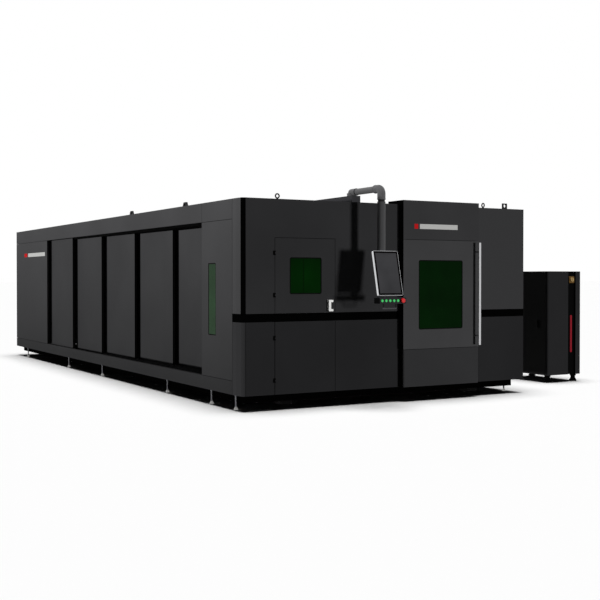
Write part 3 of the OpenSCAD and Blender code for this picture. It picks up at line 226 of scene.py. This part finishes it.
# Gantry with its motors, saddle and cutting head.
# An aluminium beam on steel blocks; the saddle is anodised plate, the head a blue housing.
# Everything is bolted, and the nozzle is turned from copper.
nozzle_low, nozzle_high = 0.94, 0.973
nozzle = ({Z: (nozzle_low, nozzle_high)}, tone(184, 112, 72))
dress(powder_coat("beam_coat", tone(176, 178, 180), rough=0.45, gloss=0.35), "gantry_beam")
dress(powder_coat("motor_coat", tone(44, 52, 62), rough=0.4, gloss=0.4), "linear_motors")
dress(powder_coat("saddle_anodised", tone(150, 152, 156), rough=0.35, gloss=0.5), "head_carriage")
dress(powder_coat("head_coat", tone(24, 62, 128), rough=0.35, gloss=0.5, patches=[nozzle]), "cutting_head")

# Outer panels: corner post, front, long side, right and rear walls, roof.
# Sheet steel folded at all edges, hung on the frame with open seams, sprayed matt graphite.
# The sheets round the black band are separate, each in the photograph's tone; a plain bar marks the far end.
graphite, graphite_low = tone(44, 44, 45), tone(35, 35, 36)
# The long side's and the corner post's graphite is the front's paint set lighter: painted light from the left.
side_graphite_painted_light, end_graphite_painted_light = tone(61, 61, 62), tone(66, 66, 67)
mark_white, mark_red = tone(178, 178, 176), tone(176, 26, 28)
band_level, above_roof = 1.05, 3.0
# Painted light: the sheet right of the door is set lighter above the band.
upper_right_painted_light = ({Z: (band_level, above_roof)}, tone(54, 54, 55))
# Painted shade: the corner post is darker below the band.
lower_corner_painted_shade = ({Z: (0.0, band_level)}, tone(44, 44, 45))
side_white_y, side_red_y, side_mark_z = (3.19, 4.34), (4.40, 4.60), (1.900, 1.968)
side_mark = [({Y: side_white_y, Z: side_mark_z}, mark_white), ({Y: side_red_y, Z: side_mark_z}, mark_red)]
dress(powder_coat("front_coat", graphite), "front_upper_panel")
dress(powder_coat("front_low_coat", graphite_low, patches=[upper_right_painted_light]), "front_infill_panels")
# The corner post, the side bands and the end panels darken towards the floor: painted shade.
dress(powder_coat("corner_coat", tone(68, 68, 69), patches=[lower_corner_painted_shade], painted_shade_fall=0.6), "corner_post")
dress(powder_coat("side_coat", end_graphite_painted_light, painted_shade_fall=0.38), "side_bands")
dress(powder_coat("end_coat", end_graphite_painted_light, patches=side_mark, painted_shade_fall=0.44), "side_end_panels")
dress(powder_coat("wall_coat", graphite), "right_wall", "rear_wall", "roof")

# Black trim band and the near corner's upright strip.
# Folded sheet in dead matt black, set a little behind the panels.
# It is clipped in the joint between the upper and lower sheets.
dress(powder_coat("trim_black", tone(3, 3, 3), rough=0.8, gloss=0.0), "trim_band")

# Laser safety panes.
# Thick filter sheet, dyed green through, polished on both faces.
# Each pane lies behind its cut-out and is held by a black rubber gasket.


def filter_glass(name, colour, gloss, middle=None, patches=()):
    """Dyed filter sheet: the dye's depth clouds slowly, and the polish wanders a little from place to place.
    Middle is (point, reach): the tone falls off with distance from the point, painted light in the pane's middle."""
    made, tree, sockets, place = bare_finish(name)
    cloud = noise(tree, place, scale=3.0, detail=2.0)
    haze = noise(tree, place, scale=40.0, detail=4.0)
    shade = mixed(tree, spread(tree, cloud), times(colour, 0.8), times(colour, 1.2))
    if middle:
        away = put(tree, "VectorMath", {0: place, 1: middle[0]}, operation="DISTANCE").outputs["Value"]
        shade = scaled(tree, shade, span(tree, away, 0.0, middle[1], 1.15, 0.6))
    tree.links.new(patched(tree, place, shade, patches), sockets["Base Color"])
    tree.links.new(span(tree, haze, 0.2, 0.8, 0.22, 0.26), sockets["Roughness"])
    sockets["Specular IOR Level"].default_value = gloss
    return made


def moulded(name, colour, rough, gloss, patches=()):
    """Moulded rubber or plastic: a fine eroded grain as bump and a faint clouding of tone and roughness."""
    grain_depth = 0.0002
    made, tree, sockets, place = bare_finish(name)
    cloud = noise(tree, place, scale=9.0, detail=3.0)
    grain = noise(tree, place, scale=900.0, detail=2.0)
    eroded = put(tree, "Bump", {"Height": grain, "Strength": 0.2, "Distance": grain_depth})
    shade = mixed(tree, spread(tree, cloud), times(colour, 0.9), times(colour, 1.1))
    tree.links.new(patched(tree, place, shade, patches), sockets["Base Color"])
    tree.links.new(spread(tree, cloud, rough - 0.05, rough + 0.05), sockets["Roughness"])
    tree.links.new(eroded.outputs[0], sockets["Normal"])
    sockets["Specular IOR Level"].default_value = gloss
    return made


def node_box(name):
    """A CAD node's low and high corners as arrays."""
    low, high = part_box(name)
    return np.array(low), np.array(high)


def surface(name, grid, finish, body):
    """Mesh of grids of points (piece, u, v, xyz), each closed in u and v: a quad between every four neighbours.
    Points that meet at a pole are merged, and the faces are turned outwards."""
    weld, crease = 1e-6, math.radians(40)
    pieces, nu, nv = grid.shape[:3]
    piece, u, v = np.meshgrid(np.arange(pieces), np.arange(nu), np.arange(nv), indexing="ij")
    around, across = (u + 1) % nu, (v + 1) % nv
    corners = [(u, v), (around, v), (around, across), (u, across)]
    quads = np.stack([(piece * nu + a) * nv + b for a, b in corners], -1).reshape(-1, 4)
    mesh = bpy.data.meshes.new(name)
    mesh.from_pydata(grid.reshape(-1, 3).tolist(), [], quads.tolist())
    shell = bmesh.new()
    shell.from_mesh(mesh)
    bmesh.ops.remove_doubles(shell, verts=shell.verts, dist=weld)
    loose = [edge for edge in shell.edges if not edge.link_faces]
    bmesh.ops.delete(shell, geom=loose, context="EDGES")
    bmesh.ops.recalc_face_normals(shell, faces=shell.faces)
    shell.to_mesh(mesh)
    shell.free()
    mesh.shade_smooth()
    mesh.set_sharp_from_angle(angle=crease)
    mesh.materials.append(finish)
    made = bpy.data.objects.new(name, mesh)
    bpy.context.scene.collection.objects.link(made)
    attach(made, body)


def gasket(low, high, radius, bead, proud):
    """Bead round a rounded opening in a front panel: an ellipse carried along four corner arcs joined by straights.
    The result is a grid (along the opening, round the bead) in x, y, z, with the opening facing -y."""
    arc_points, bead_points = 7, 10
    corners = np.linspace(0, math.pi / 2, arc_points) + np.arange(4)[:, None] * math.pi / 2
    facing = corners.mean(1)
    centre_x = np.where(np.cos(facing) > 0, high[X] - radius, low[X] + radius).repeat(arc_points)[:, None]
    centre_z = np.where(np.sin(facing) > 0, high[Z] - radius, low[Z] + radius).repeat(arc_points)[:, None]
    turn = corners.reshape(-1, 1)
    round_bead = np.linspace(0, 2 * math.pi, bead_points, endpoint=False)[None, :]
    reach = radius - bead + bead * np.cos(round_bead)
    depth = low[Y] - proud * np.sin(round_bead)
    return np.stack([centre_x + reach * np.cos(turn), depth + 0 * turn, centre_z + reach * np.sin(turn)], -1)


# The panes are opaque here, so the post that shows through the hatch's one is a darker stripe on it.
post_share, post_w, pane_reach = 0.42, 0.014, 0.42
low, high = node_box("hatch_window")
post_edge = low[X] + post_share * (high[X] - low[X])
post_behind = ({X: (post_edge, post_edge + post_w)}, tone(1, 20, 1))
# Painted light: the hatch pane is lighter towards its middle.
hatch_painted_light = (tuple((low + high) / 2), pane_reach)
dress(filter_glass("door_pane", tone(2, 23, 3), gloss=0.015), "door_window")
dress(filter_glass("hatch_pane", tone(1, 29, 2), 0.015, hatch_painted_light, [post_behind]), "hatch_window")
dress(filter_glass("slit_pane", tone(27, 50, 29), gloss=0.02), "slit_window")

rubber = moulded("gasket_rubber", tone(6, 6, 6), rough=0.8, gloss=0.04)
pane_rim, cut_corner, bead, bead_proud = 0.016, 0.025, 0.006, 0.004
for pane, body in (("door_window", "front_door"), ("hatch_window", "upper_hatch")):
    low, high = node_box(pane)
    rim = np.array([pane_rim, 0, pane_rim])
    pane_grid = gasket(low + rim, high - rim, cut_corner, bead, bead_proud)
    surface(pane + "_gasket", pane_grid[None], rubber, body)
slit_corner, slit_proud, turned_left = 0.012, 0.0025, [Y, X, Z]
low, high = node_box("slit_window")
rim = np.array([0, pane_rim, pane_rim])
slit_grid = gasket((low + rim)[turned_left], (high - rim)[turned_left], slit_corner, bead, slit_proud)
surface("slit_window_gasket", slit_grid[..., turned_left][None], rubber, "machine")

# Panel screws on the right wall, the rear wall and the roof.
# Button heads in black-passivated steel, cold formed with a sunk socket.
# They are driven through the panels' edges into the frame.
screw_in, seam, screw_r, screw_sides = 0.022, 0.005, 0.0075, 8
button_head = np.array([[0.0, 0.36], [0.42, 0.36], [0.5, 0.6], [1.0, 0.2], [1.0, -0.1], [0.0, -0.1]])


def turned(points, section, out, across, steps):
    """Turned pieces: a section of (radius, rise) pairs carried round an axis through each point, in even steps.
    Out is the axis' direction and across one square to it; the grid is (piece, round the axis, along the section)."""
    out, across, section = np.array(out, float), np.array(across, float), np.array(section)
    radius, rise = section[:, 0], section[:, 1]
    around = np.linspace(0, 2 * math.pi, steps, endpoint=False)[:, None]
    first = (radius * np.cos(around))[..., None] * across
    second = (radius * np.sin(around))[..., None] * np.cross(out, across)
    return np.asarray(points)[:, None, None, :] + first + second + (rise + 0 * around)[..., None] * out


def rim_points(low, high, columns, rows):
    """Even columns and rows of points over a flat panel, set in from its edges, without those in the middle."""
    u = np.linspace(low[0] + screw_in, high[0] - screw_in, columns)
    v = np.linspace(low[1] + screw_in, high[1] - screw_in, rows)
    u, v = np.meshgrid(u, v)
    rim = np.ones(u.shape, bool)
    rim[1:-1, 1:-1] = False
    return np.stack([u[rim], v[rim]], -1)


def edge_screws(node, face, run, panels, gap, overhang, columns, rows):
    """Heads along the edges of a row of equal panels: the node's length plus an overhang, shared out with a gap each.
    Face is the axis that the panels look along and run the one that the row follows."""
    low, high = node_box(node)
    flat = [axis for axis in (X, Y, Z) if axis != face]
    pitch = (high[run] - low[run] + overhang) / panels
    points = []
    for i in range(panels):
        near, far = low.copy(), high.copy()
        near[run], far[run] = low[run] + i * pitch, low[run] + (i + 1) * pitch - gap
        points.append(rim_points(near[flat], far[flat], columns, rows))
    points = np.insert(np.concatenate(points), face, high[face], axis=1)
    return turned(points, screw_r * button_head, np.eye(3)[face], np.eye(3)[flat[0]], screw_sides)


heads = np.concatenate([
    edge_screws("right_wall", face=X, run=Y, panels=5, gap=seam, overhang=seam, columns=4, rows=6),
    edge_screws("rear_wall", face=Y, run=X, panels=3, gap=seam, overhang=0.0, columns=4, rows=6),
    edge_screws("roof", face=Z, run=Y, panels=5, gap=2 * seam, overhang=2 * seam, columns=8, rows=4),
])
surface("panel_screws", heads, plated_steel("screw_black", tone(92, 92, 94), rough=0.4), "machine")

# Telescopic side door: five leaves on guide bars between a head and a sill beam.
# Closed double-skin leaves in graphite, each with a black edge on its leading side, partly a sealing edge and partly
# painted shade, and a black strip along its foot that is painted shade.
# A rubber bulb is pressed over that edge, full height.
leaf_count, leaf_black, edge_w, foot_h = 5, tone(4, 4, 4), 0.004, 0.018
bulb_r, bulb_in, bulb_set, bulb_sides = 0.012, 0.03, 0.002, 16
sill_top = 0.5
sill_grey = ({Z: (0.0, sill_top)}, tone(31, 31, 32))
dress(powder_coat("rail_black", tone(4, 4, 4), rough=0.8, gloss=0.01, patches=[sill_grey]), "side_door_rails")


def bulb_seal(low, high):
    """Upright round bar on a leaf's leading edge.
    A circle is carried from foot to head and drawn in to a point at both ends."""
    around = np.linspace(0, 2 * math.pi, bulb_sides, endpoint=False)[None, :]
    foot, head = low[Z] + bulb_in, high[Z] - bulb_in
    level = np.array([foot, foot, head, head])[:, None]
    swell = bulb_r * np.array([0.0, 1.0, 1.0, 0.0])[:, None]
    x = (low[X] + high[X]) / 2 + swell * np.cos(around)
    y = low[Y] + bulb_set + swell * np.sin(around)
    return np.stack([x, y, level + 0 * around], -1)


for k in range(1, leaf_count + 1):
    leaf = f"side_door_leaf_{k}"
    low, high = node_box(leaf)
    # Painted shade: the black strip along each leaf's foot and the darkening towards the floor; the black leading
    # edge is partly seal, partly painted shade.
    leading, foot_painted_shade = {Y: (low[Y] - beyond, low[Y] + edge_w)}, {Z: (0.0, low[Z] + foot_h)}
    edge_seal_and_painted_shade = [(leading, leaf_black), (foot_painted_shade, leaf_black)]
    dress(powder_coat(leaf + "_coat", side_graphite_painted_light, patches=edge_seal_and_painted_shade, painted_shade_fall=0.56), leaf)
    surface(leaf + "_bulb", bulb_seal(low, high)[None], rubber, f"leaf_{k}")

# Hatches with their hinges and the white pull.
# Folded sheet like the panels round them; the hinges are black cast, the pull white cast.
# Hinges and pull are screwed on from behind.
bar_d, slot_in = 0.02, 0.0265
low, high = node_box("hatch_handle")
slot_x, slot_y = ((low[X] + high[X]) / 2, high[X] + beyond), (low[Y] + bar_d, high[Y] + beyond)
# Painted shade: the plate between the pull's blocks is dark, for the recess behind the bar.
finger_slot_painted_shade = ({X: slot_x, Y: slot_y, Z: (low[Z] + slot_in, high[Z] - slot_in)}, tone(10, 10, 10))
dress(powder_coat("hatch_coat", graphite), "hatch_door")
dress(powder_coat("lower_hatch_coat", graphite_low), "lower_hatch")
dress(moulded("hinge_black", tone(3, 3, 3), rough=0.7, gloss=0.03), "hatch_hinges")
dress(moulded("pull_white", tone(226, 226, 224), rough=0.4, gloss=0.4, patches=[finger_slot_painted_shade]), "hatch_handle")

# Front door module: header, jambs, skirt, leaf and full-height pull.
# The header, leaf and skirt are folded sheet in a slightly lighter graphite; their left sides are painted black as
# painted shade, and the jambs are black.
# The pull is a brushed stainless tube on two turned posts, and a plain bar marks the header.


def brushed_steel(name, colour, rough):
    """Stainless tube brushed along its length: noise drawn out along z sets tone and roughness in fine lines."""
    made, tree, sockets, place = bare_finish(name)
    drawn = put(tree, "Mapping", {"Vector": place, "Scale": (900.0, 900.0, 6.0)}).outputs[0]
    lines = noise(tree, drawn, scale=1.0, detail=3.0)
    shade = mixed(tree, spread(tree, lines), times(colour, 0.94), times(colour, 1.04))
    tree.links.new(shade, sockets["Base Color"])
    tree.links.new(spread(tree, lines, rough - 0.03, rough + 0.05), sockets["Roughness"])
    sockets["Metallic"].default_value = 1.0
    return made


side_skin, face_skin = 0.0012, 0.002
door_left, header_front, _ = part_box("door_header")[0]
# Painted shade: the left sides of header, skirt and leaf are black.
side_painted_shade = ({X: (door_left - beyond, door_left + side_skin)}, tone(4, 4, 4))
header_face, header_mark_z = (header_front - beyond, header_front + face_skin), (2.102, 2.162)
white_bar = {X: (door_left + 0.245, door_left + 0.825), Y: header_face, Z: header_mark_z}
red_bar = {X: (door_left + 0.165, door_left + 0.220), Y: header_face, Z: header_mark_z}
header_tones = [side_painted_shade, (white_bar, mark_white), (red_bar, mark_red)]
dress(powder_coat("header_coat", tone(53, 53, 54), patches=header_tones), "door_header")
dress(powder_coat("skirt_coat", tone(47, 47, 48), patches=[side_painted_shade]), "door_skirt")
dress(powder_coat("door_coat", tone(60, 60, 61), patches=[side_painted_shade]), "front_door")
dress(powder_coat("jamb_black", tone(6, 6, 6), rough=0.8, gloss=0.02), "door_frame")
dress(brushed_steel("pull_stainless", tone(190, 190, 192), rough=0.25), "door_pull")

# Roof fittings: lifting eyes and lugs, cable trunk, fume outlet.
# Forged eyes and welded lugs are black, the trunk is folded sheet, the outlet galvanised tube.
# The trunk runs back from the pendant's pivot, and eight bolts hold the outlet's flange.
flange_t, bolt_in, bolt_r, bolt_count, bolt_sides = 0.006, 0.026, 0.011, 8, 6
outlet_zinc = plated_steel("outlet_galvanised", tone(176, 180, 184), rough=0.42)
dress(powder_coat("lug_black", tone(24, 24, 25), rough=0.6, gloss=0.15), "lifting_eyes")
dress(powder_coat("trunk_coat", tone(52, 52, 54)), "roof_trunk")
dress(outlet_zinc, "fume_outlet")
low, high = node_box("fume_outlet")
middle = (low + high) / 2
around = np.linspace(0, 2 * math.pi, bolt_count, endpoint=False)
bolt_circle = (high[X] - low[X]) / 2 - bolt_in
bolt_x, bolt_z = middle[X] + bolt_circle * np.cos(around), middle[Z] + bolt_circle * np.sin(around)
bolts = np.column_stack([bolt_x, np.full(bolt_count, low[Y] + flange_t), bolt_z])
bolt_grid = turned(bolts, bolt_r * button_head, (0, 1, 0), (1, 0, 0), bolt_sides)
surface("flange_bolts", bolt_grid, outlet_zinc, "machine")

# Operator pendant: swivel arm, drop tube, monitor and operating box.
# Satin grey aluminium tube with cast collars, a silver monitor case and a dark box with a grip below.
# The arm turns on the trunk, and the drop tube turns in the arm's collar.
seam_black, seam_w = tone(16, 16, 16), 0.009
base_socket_in, elbow_socket_in, neck_in = 0.168, 0.172, 0.084
low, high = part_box("pendant_arm")
base_seam, elbow_seam = high[Y] - base_socket_in, low[Y] + elbow_socket_in
base_joint, elbow_joint = {Y: (base_seam - seam_w, base_seam)}, {Y: (elbow_seam, elbow_seam + seam_w)}
arm_seams = [(base_joint, seam_black), (elbow_joint, seam_black)]
neck_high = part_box("drop_tube")[1][Z]
# Painted shade: the top of the drop tube, under the elbow, is darker.
neck_painted_shade = ({Z: (neck_high - neck_in, neck_high)}, tone(26, 26, 26))
# The arm is set lighter than the drop tube, though both are the same grey: painted light on the arm.
dress(powder_coat("arm_coat", tone(82, 82, 83), rough=0.5, gloss=0.12, patches=arm_seams), "pendant_arm")
dress(powder_coat("tube_coat", tone(64, 64, 65), rough=0.5, gloss=0.12, patches=[neck_painted_shade]), "drop_tube")
dress(powder_coat("monitor_silver", tone(196, 197, 199), rough=0.4, gloss=0.3), "monitor_housing")
dress(filter_glass("screen_glass", tone(52, 52, 54), gloss=0.04), "screen")

box_skin, grip_d, box_under = 0.004, 0.0185, 1.207
box_left, box_face, grip_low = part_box("button_box")[0]
# Painted shade: the box's left end is black, and the grip's posts are darker than its bar.
box_painted_shade = [
    ({X: (box_left - beyond, box_left + box_skin)}, tone(4, 4, 4)),
    ({Z: (grip_low + grip_d, box_under)}, tone(28, 28, 28)),
    ({Z: (grip_low - beyond, grip_low + grip_d)}, tone(76, 76, 78)),
]
dress(powder_coat("box_coat", tone(40, 40, 42), rough=0.7, gloss=0.05, patches=box_painted_shade), "button_box")


def border_frame(half_w, half_h, width, proud):
    """Flat rectangular frame round the screen's middle: four mitred corners, each with a thin box section."""
    sunk = 0.0003
    corner = np.array([[-1, -1], [1, -1], [1, 1], [-1, 1]])[:, None, :]
    section = np.array([[0, sunk], [0, -proud], [width, -proud], [width, sunk]])
    flat = corner * (np.array([half_w, half_h]) - section[None, :, :1])
    return np.stack([flat[..., 0], section[None, :, 1] + 0 * flat[..., 0], flat[..., 1]], -1)


tilt, glass_t = math.radians(13), 0.004
border_over, border_w, border_proud = 0.006, 0.022, 0.001
low, high = node_box("screen")
tall = (high[Z] - low[Z] - glass_t * math.sin(tilt)) / math.cos(tilt)
lean = np.array([[1, 0, 0], [0, math.cos(tilt), math.sin(tilt)], [0, -math.sin(tilt), math.cos(tilt)]])
glass_face = (low + high) / 2 - lean[:, Y] * glass_t / 2
border_flat = border_frame((high[X] - low[X]) / 2 + border_over, tall / 2 + border_over, border_w, border_proud)
border_black = moulded("border_black", tone(3, 3, 3), rough=0.6, gloss=0.03)
surface("screen_border", (border_flat @ lean.T + glass_face)[None], border_black, "pendant")

# Push buttons and emergency stop.
# Lit green caps and a red mushroom head, moulded; each green cap sits in a turned ring of dark plated steel.
# The stop stands on a black collar.
button_count, ring_gap, ring_w, ring_proud, ring_sides = 5, 0.0005, 0.004, 0.003, 24
collar_bore, collar_r, collar_proud = 0.0116, 0.030, 0.004


def lit_cap(name, colour, glow, gloss=0.5):
    """Translucent cap lit from behind: the moulded tone and a soft glow, strongest where noise thins the wall."""
    made = moulded(name, colour, 0.3, gloss)
    tree = made.node_tree
    sockets = tree.nodes["Principled BSDF"].inputs
    wall = noise(tree, put(tree, "TexCoord", {}).outputs["Object"], scale=120.0, detail=2.0)
    sockets["Emission Color"].default_value = colour
    tree.links.new(spread(tree, wall, glow * 0.8, glow * 1.2), sockets["Emission Strength"])
    return made


def ring(caps, bore, rim, proud):
    """Rings round caps on the box's face: a rounded section between bore and rim, turned about each cap's middle."""
    sunk = -0.001
    middles = np.array(caps).mean(1)
    middles[:, Y] = box_face
    shoulder = [((2 * bore + rim) / 3, proud), ((bore + 2 * rim) / 3, proud)]
    section = [(bore, sunk), (bore, proud * 0.7), *shoulder, (rim, proud * 0.6), (rim, sunk)]
    return turned(middles, section, (0, -1, 0), (1, 0, 0), ring_sides)


buttons = [f"push_button_{k}" for k in range(1, button_count + 1)]
dress(lit_cap("cap_green", tone(52, 168, 86), glow=0.3), *buttons)
# The stop is no lamp: its faint glow is painted light.
dress(lit_cap("stop_red", tone(186, 24, 28), glow=0.1), "emergency_stop")
caps = [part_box(button) for button in buttons]
ring_bore = (caps[0][1][X] - caps[0][0][X]) / 2 + ring_gap
ring_steel = plated_steel("ring_steel", tone(74, 84, 76), rough=0.35)
collar_black = moulded("collar_black", tone(14, 14, 14), rough=0.6, gloss=0.1)
surface("button_rings", ring(caps, ring_bore, ring_bore + ring_w, ring_proud), ring_steel, "pendant")
collar_grid = ring([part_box("emergency_stop")], collar_bore, collar_r, collar_proud)
surface("stop_collar", collar_grid, collar_black, "pendant")

# Power cabinet with its door, channel, main switch, status light and source.
# Sheet steel body in graphite with a black front channel and a black side door, set lighter as painted light in the
# machine's shade; louvres are pressed in the rear.
# The switch has an amber plate and a pale handle, the light a red lens, and the feet moulded cups.
cabinet_graphite = tone(37, 37, 38)
channel_low, channel_high = 0.4005, 0.5465
cabinet_low, cabinet_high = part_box("cabinet_body")
channel = ({X: (cabinet_low[X] + channel_low, cabinet_low[X] + channel_high)}, tone(6, 6, 6))
dress(powder_coat("cabinet_coat", cabinet_graphite, patches=[channel]), "cabinet_body")
# Painted light: the black side door is given a lighter tone, as it lies in the machine's shade.
dress(powder_coat("cabinet_black", tone(44, 44, 44), rough=0.7, gloss=0.04), "cabinet_door")


def louvres(levels, left, right, wall, proud, tall):
    """Pressed louvres on a wall that faces +y: a hooded section with a flat mouth below, carried along x.
    It is scaled by the square root of one less the sixth power of the place along, so both ends close to a point."""
    stations = 15
    along = np.sin(np.linspace(-math.pi / 2, math.pi / 2, stations))[None, :, None]
    hood = np.array([[-0.1, 0.5], [0.35, 0.42], [0.8, 0.05], [1.0, -0.38], [1.0, -0.5], [-0.1, -0.5]])
    taper = np.sqrt(np.maximum(1 - along ** 6, 0))
    x = (left + right) / 2 + (right - left) / 2 * along
    y = wall + proud * hood[:, 0] * taper
    z = np.asarray(levels)[:, None, None] + tall * hood[:, 1] * taper
    return np.stack(np.broadcast_arrays(x, y, z), -1)


louvre_rows, louvre_pitch, louvre_in, louvre_proud, louvre_h = 8, 0.042, 0.14, 0.009, 0.024
lower_vent, upper_vent = 0.30, 1.16
rows = np.arange(louvre_rows) * louvre_pitch
vent_levels = np.concatenate([rows + lower_vent, rows + upper_vent])
vent_left, vent_right = cabinet_low[X] + louvre_in, cabinet_high[X] - louvre_in
vents = louvres(vent_levels, vent_left, vent_right, cabinet_high[Y], louvre_proud, louvre_h)
surface("cabinet_louvres", vents, powder_coat("louvre_coat", cabinet_graphite), "machine")

foot_r, stem_r, pad_gap, cup_sides = 0.034, 0.0202, 0.035, 24
cup = [
    (pad_gap, 0.001), (0.052, 0.001), (0.053, 0.020), (0.034, 0.050), (0.031, 0.072),
    (0.044, 0.088), (0.044, 0.104), (stem_r, 0.104), (stem_r, 0.045), (pad_gap, 0.042),
]
foot_rubber = moulded("cabinet_foot_rubber", tone(5, 5, 5), rough=0.8, gloss=0.01)
low, high = node_box("cabinet_feet")
near, far = low + foot_r, high - foot_r
stands = np.array([(x, y, 0.0) for x in (near[X], far[X]) for y in (near[Y], far[Y])])
dress(foot_rubber, "cabinet_feet")
surface("cabinet_foot_cups", turned(stands, cup, (0, 0, 1), (1, 0, 0), cup_sides), foot_rubber, "machine")
dress(moulded("switch_amber", tone(84, 60, 22), rough=0.5, gloss=0.2), "switch_plate")
dress(moulded("switch_pale", tone(156, 132, 88), rough=0.5, gloss=0.2), "switch_knob")
dress(lit_cap("light_lens", tone(114, 17, 28), glow=0.35, gloss=0.08), "cabinet_light")
dress(powder_coat("source_coat", tone(170, 172, 176), rough=0.45, gloss=0.35), "laser_source")

# Floor, lamps and camera.
# A plain white floor, a key lamp in front on the right, lamps on the left, behind and overhead.
# All but the last lie just under the horizon and shine through the floor, so that they light only the walls.
reach, floor_white, floor_fill, sky_fill = 400.0, 0.93, 0.025, 0.006


def seen_plainly(tree):
    """1 for rays from the camera and for those that a gloss or a pane passes on, else 0."""
    path = put(tree, "LightPath", {}).outputs
    seen = worked(tree, "MAXIMUM", path["Is Camera Ray"], path["Is Glossy Ray"])
    return worked(tree, "MAXIMUM", seen, path["Is Transmission Ray"])


floor_mesh = bpy.data.meshes.new("floor")
floor_corners = [(-reach, -reach, 0), (reach, -reach, 0), (reach, reach, 0), (-reach, reach, 0)]
floor_mesh.from_pydata(floor_corners, [], [(0, 1, 2, 3)])
floor = bpy.data.objects.new("floor", floor_mesh)
bpy.context.scene.collection.objects.link(floor)
floor_finish = bpy.data.materials.new("floor_white")
floor_finish.use_nodes = True
tree = floor_finish.node_tree
dull = put(tree, "BsdfDiffuse", {"Color": (floor_fill, floor_fill, floor_fill, 1.0)})
white = put(tree, "BsdfDiffuse", {"Color": (floor_white, floor_white, floor_white, 1.0)})
both = put(tree, "MixShader", {0: seen_plainly(tree), 1: dull.outputs[0], 2: white.outputs[0]})
tree.links.new(both.outputs[0], tree.nodes["Material Output"].inputs["Surface"])
floor_mesh.materials.append(floor_finish)
floor.visible_shadow = False

world = bpy.data.worlds.new("studio")
world.use_nodes = True
bpy.context.scene.world = world
tree = world.node_tree
sky = tree.nodes["Background"].inputs
sky["Color"].default_value = (1.0, 1.0, 1.0, 1.0)
tree.links.new(span(tree, seen_plainly(tree), 0.0, 1.0, sky_fill, 1.0), sky["Strength"])

for name, towards, power, softness in (
    ("key_lamp", (0.387, -0.922, -0.045), 2.8, 7.0),
    ("side_lamp", (-0.97, 0.25, -0.022), 3.6, 2.0),
    ("top_lamp", (0.0, 0.0, 1.0), 3.3, 28.0),
    ("back_lamp", (0.5, 0.85, -0.08), 2.0, 8.0),
):
    lamp = bpy.data.lights.new(name, "SUN")
    lamp.energy = power
    lamp.angle = math.radians(softness)
    hung = bpy.data.objects.new(name, lamp)
    hung.visible_glossy = False
    bpy.context.scene.collection.objects.link(hung)
    azimuth = math.atan2(towards[Y], towards[X])
    polar = math.acos(towards[Z] / math.hypot(*towards))
    hung.rotation_euler = (0.0, polar, azimuth)

# The camera stands where the photograph was taken, by a fit to the object's edges in it.
lens = bpy.data.cameras.new("camera")
lens.sensor_width = 36.0
lens.lens = 60.74
lens.shift_x = -0.00105
lens.shift_y = -0.01345
lens.clip_end = 1000.0
camera = bpy.data.objects.new("camera", lens)
bpy.context.scene.collection.objects.link(camera)
camera.location = (-7.9225, -14.8112, 1.4990)
camera.rotation_euler = (math.pi / 2 - 0.01341, 0.0, -0.5179)
bpy.context.scene.camera = camera
bpy.context.scene.view_settings.view_transform = "Standard"
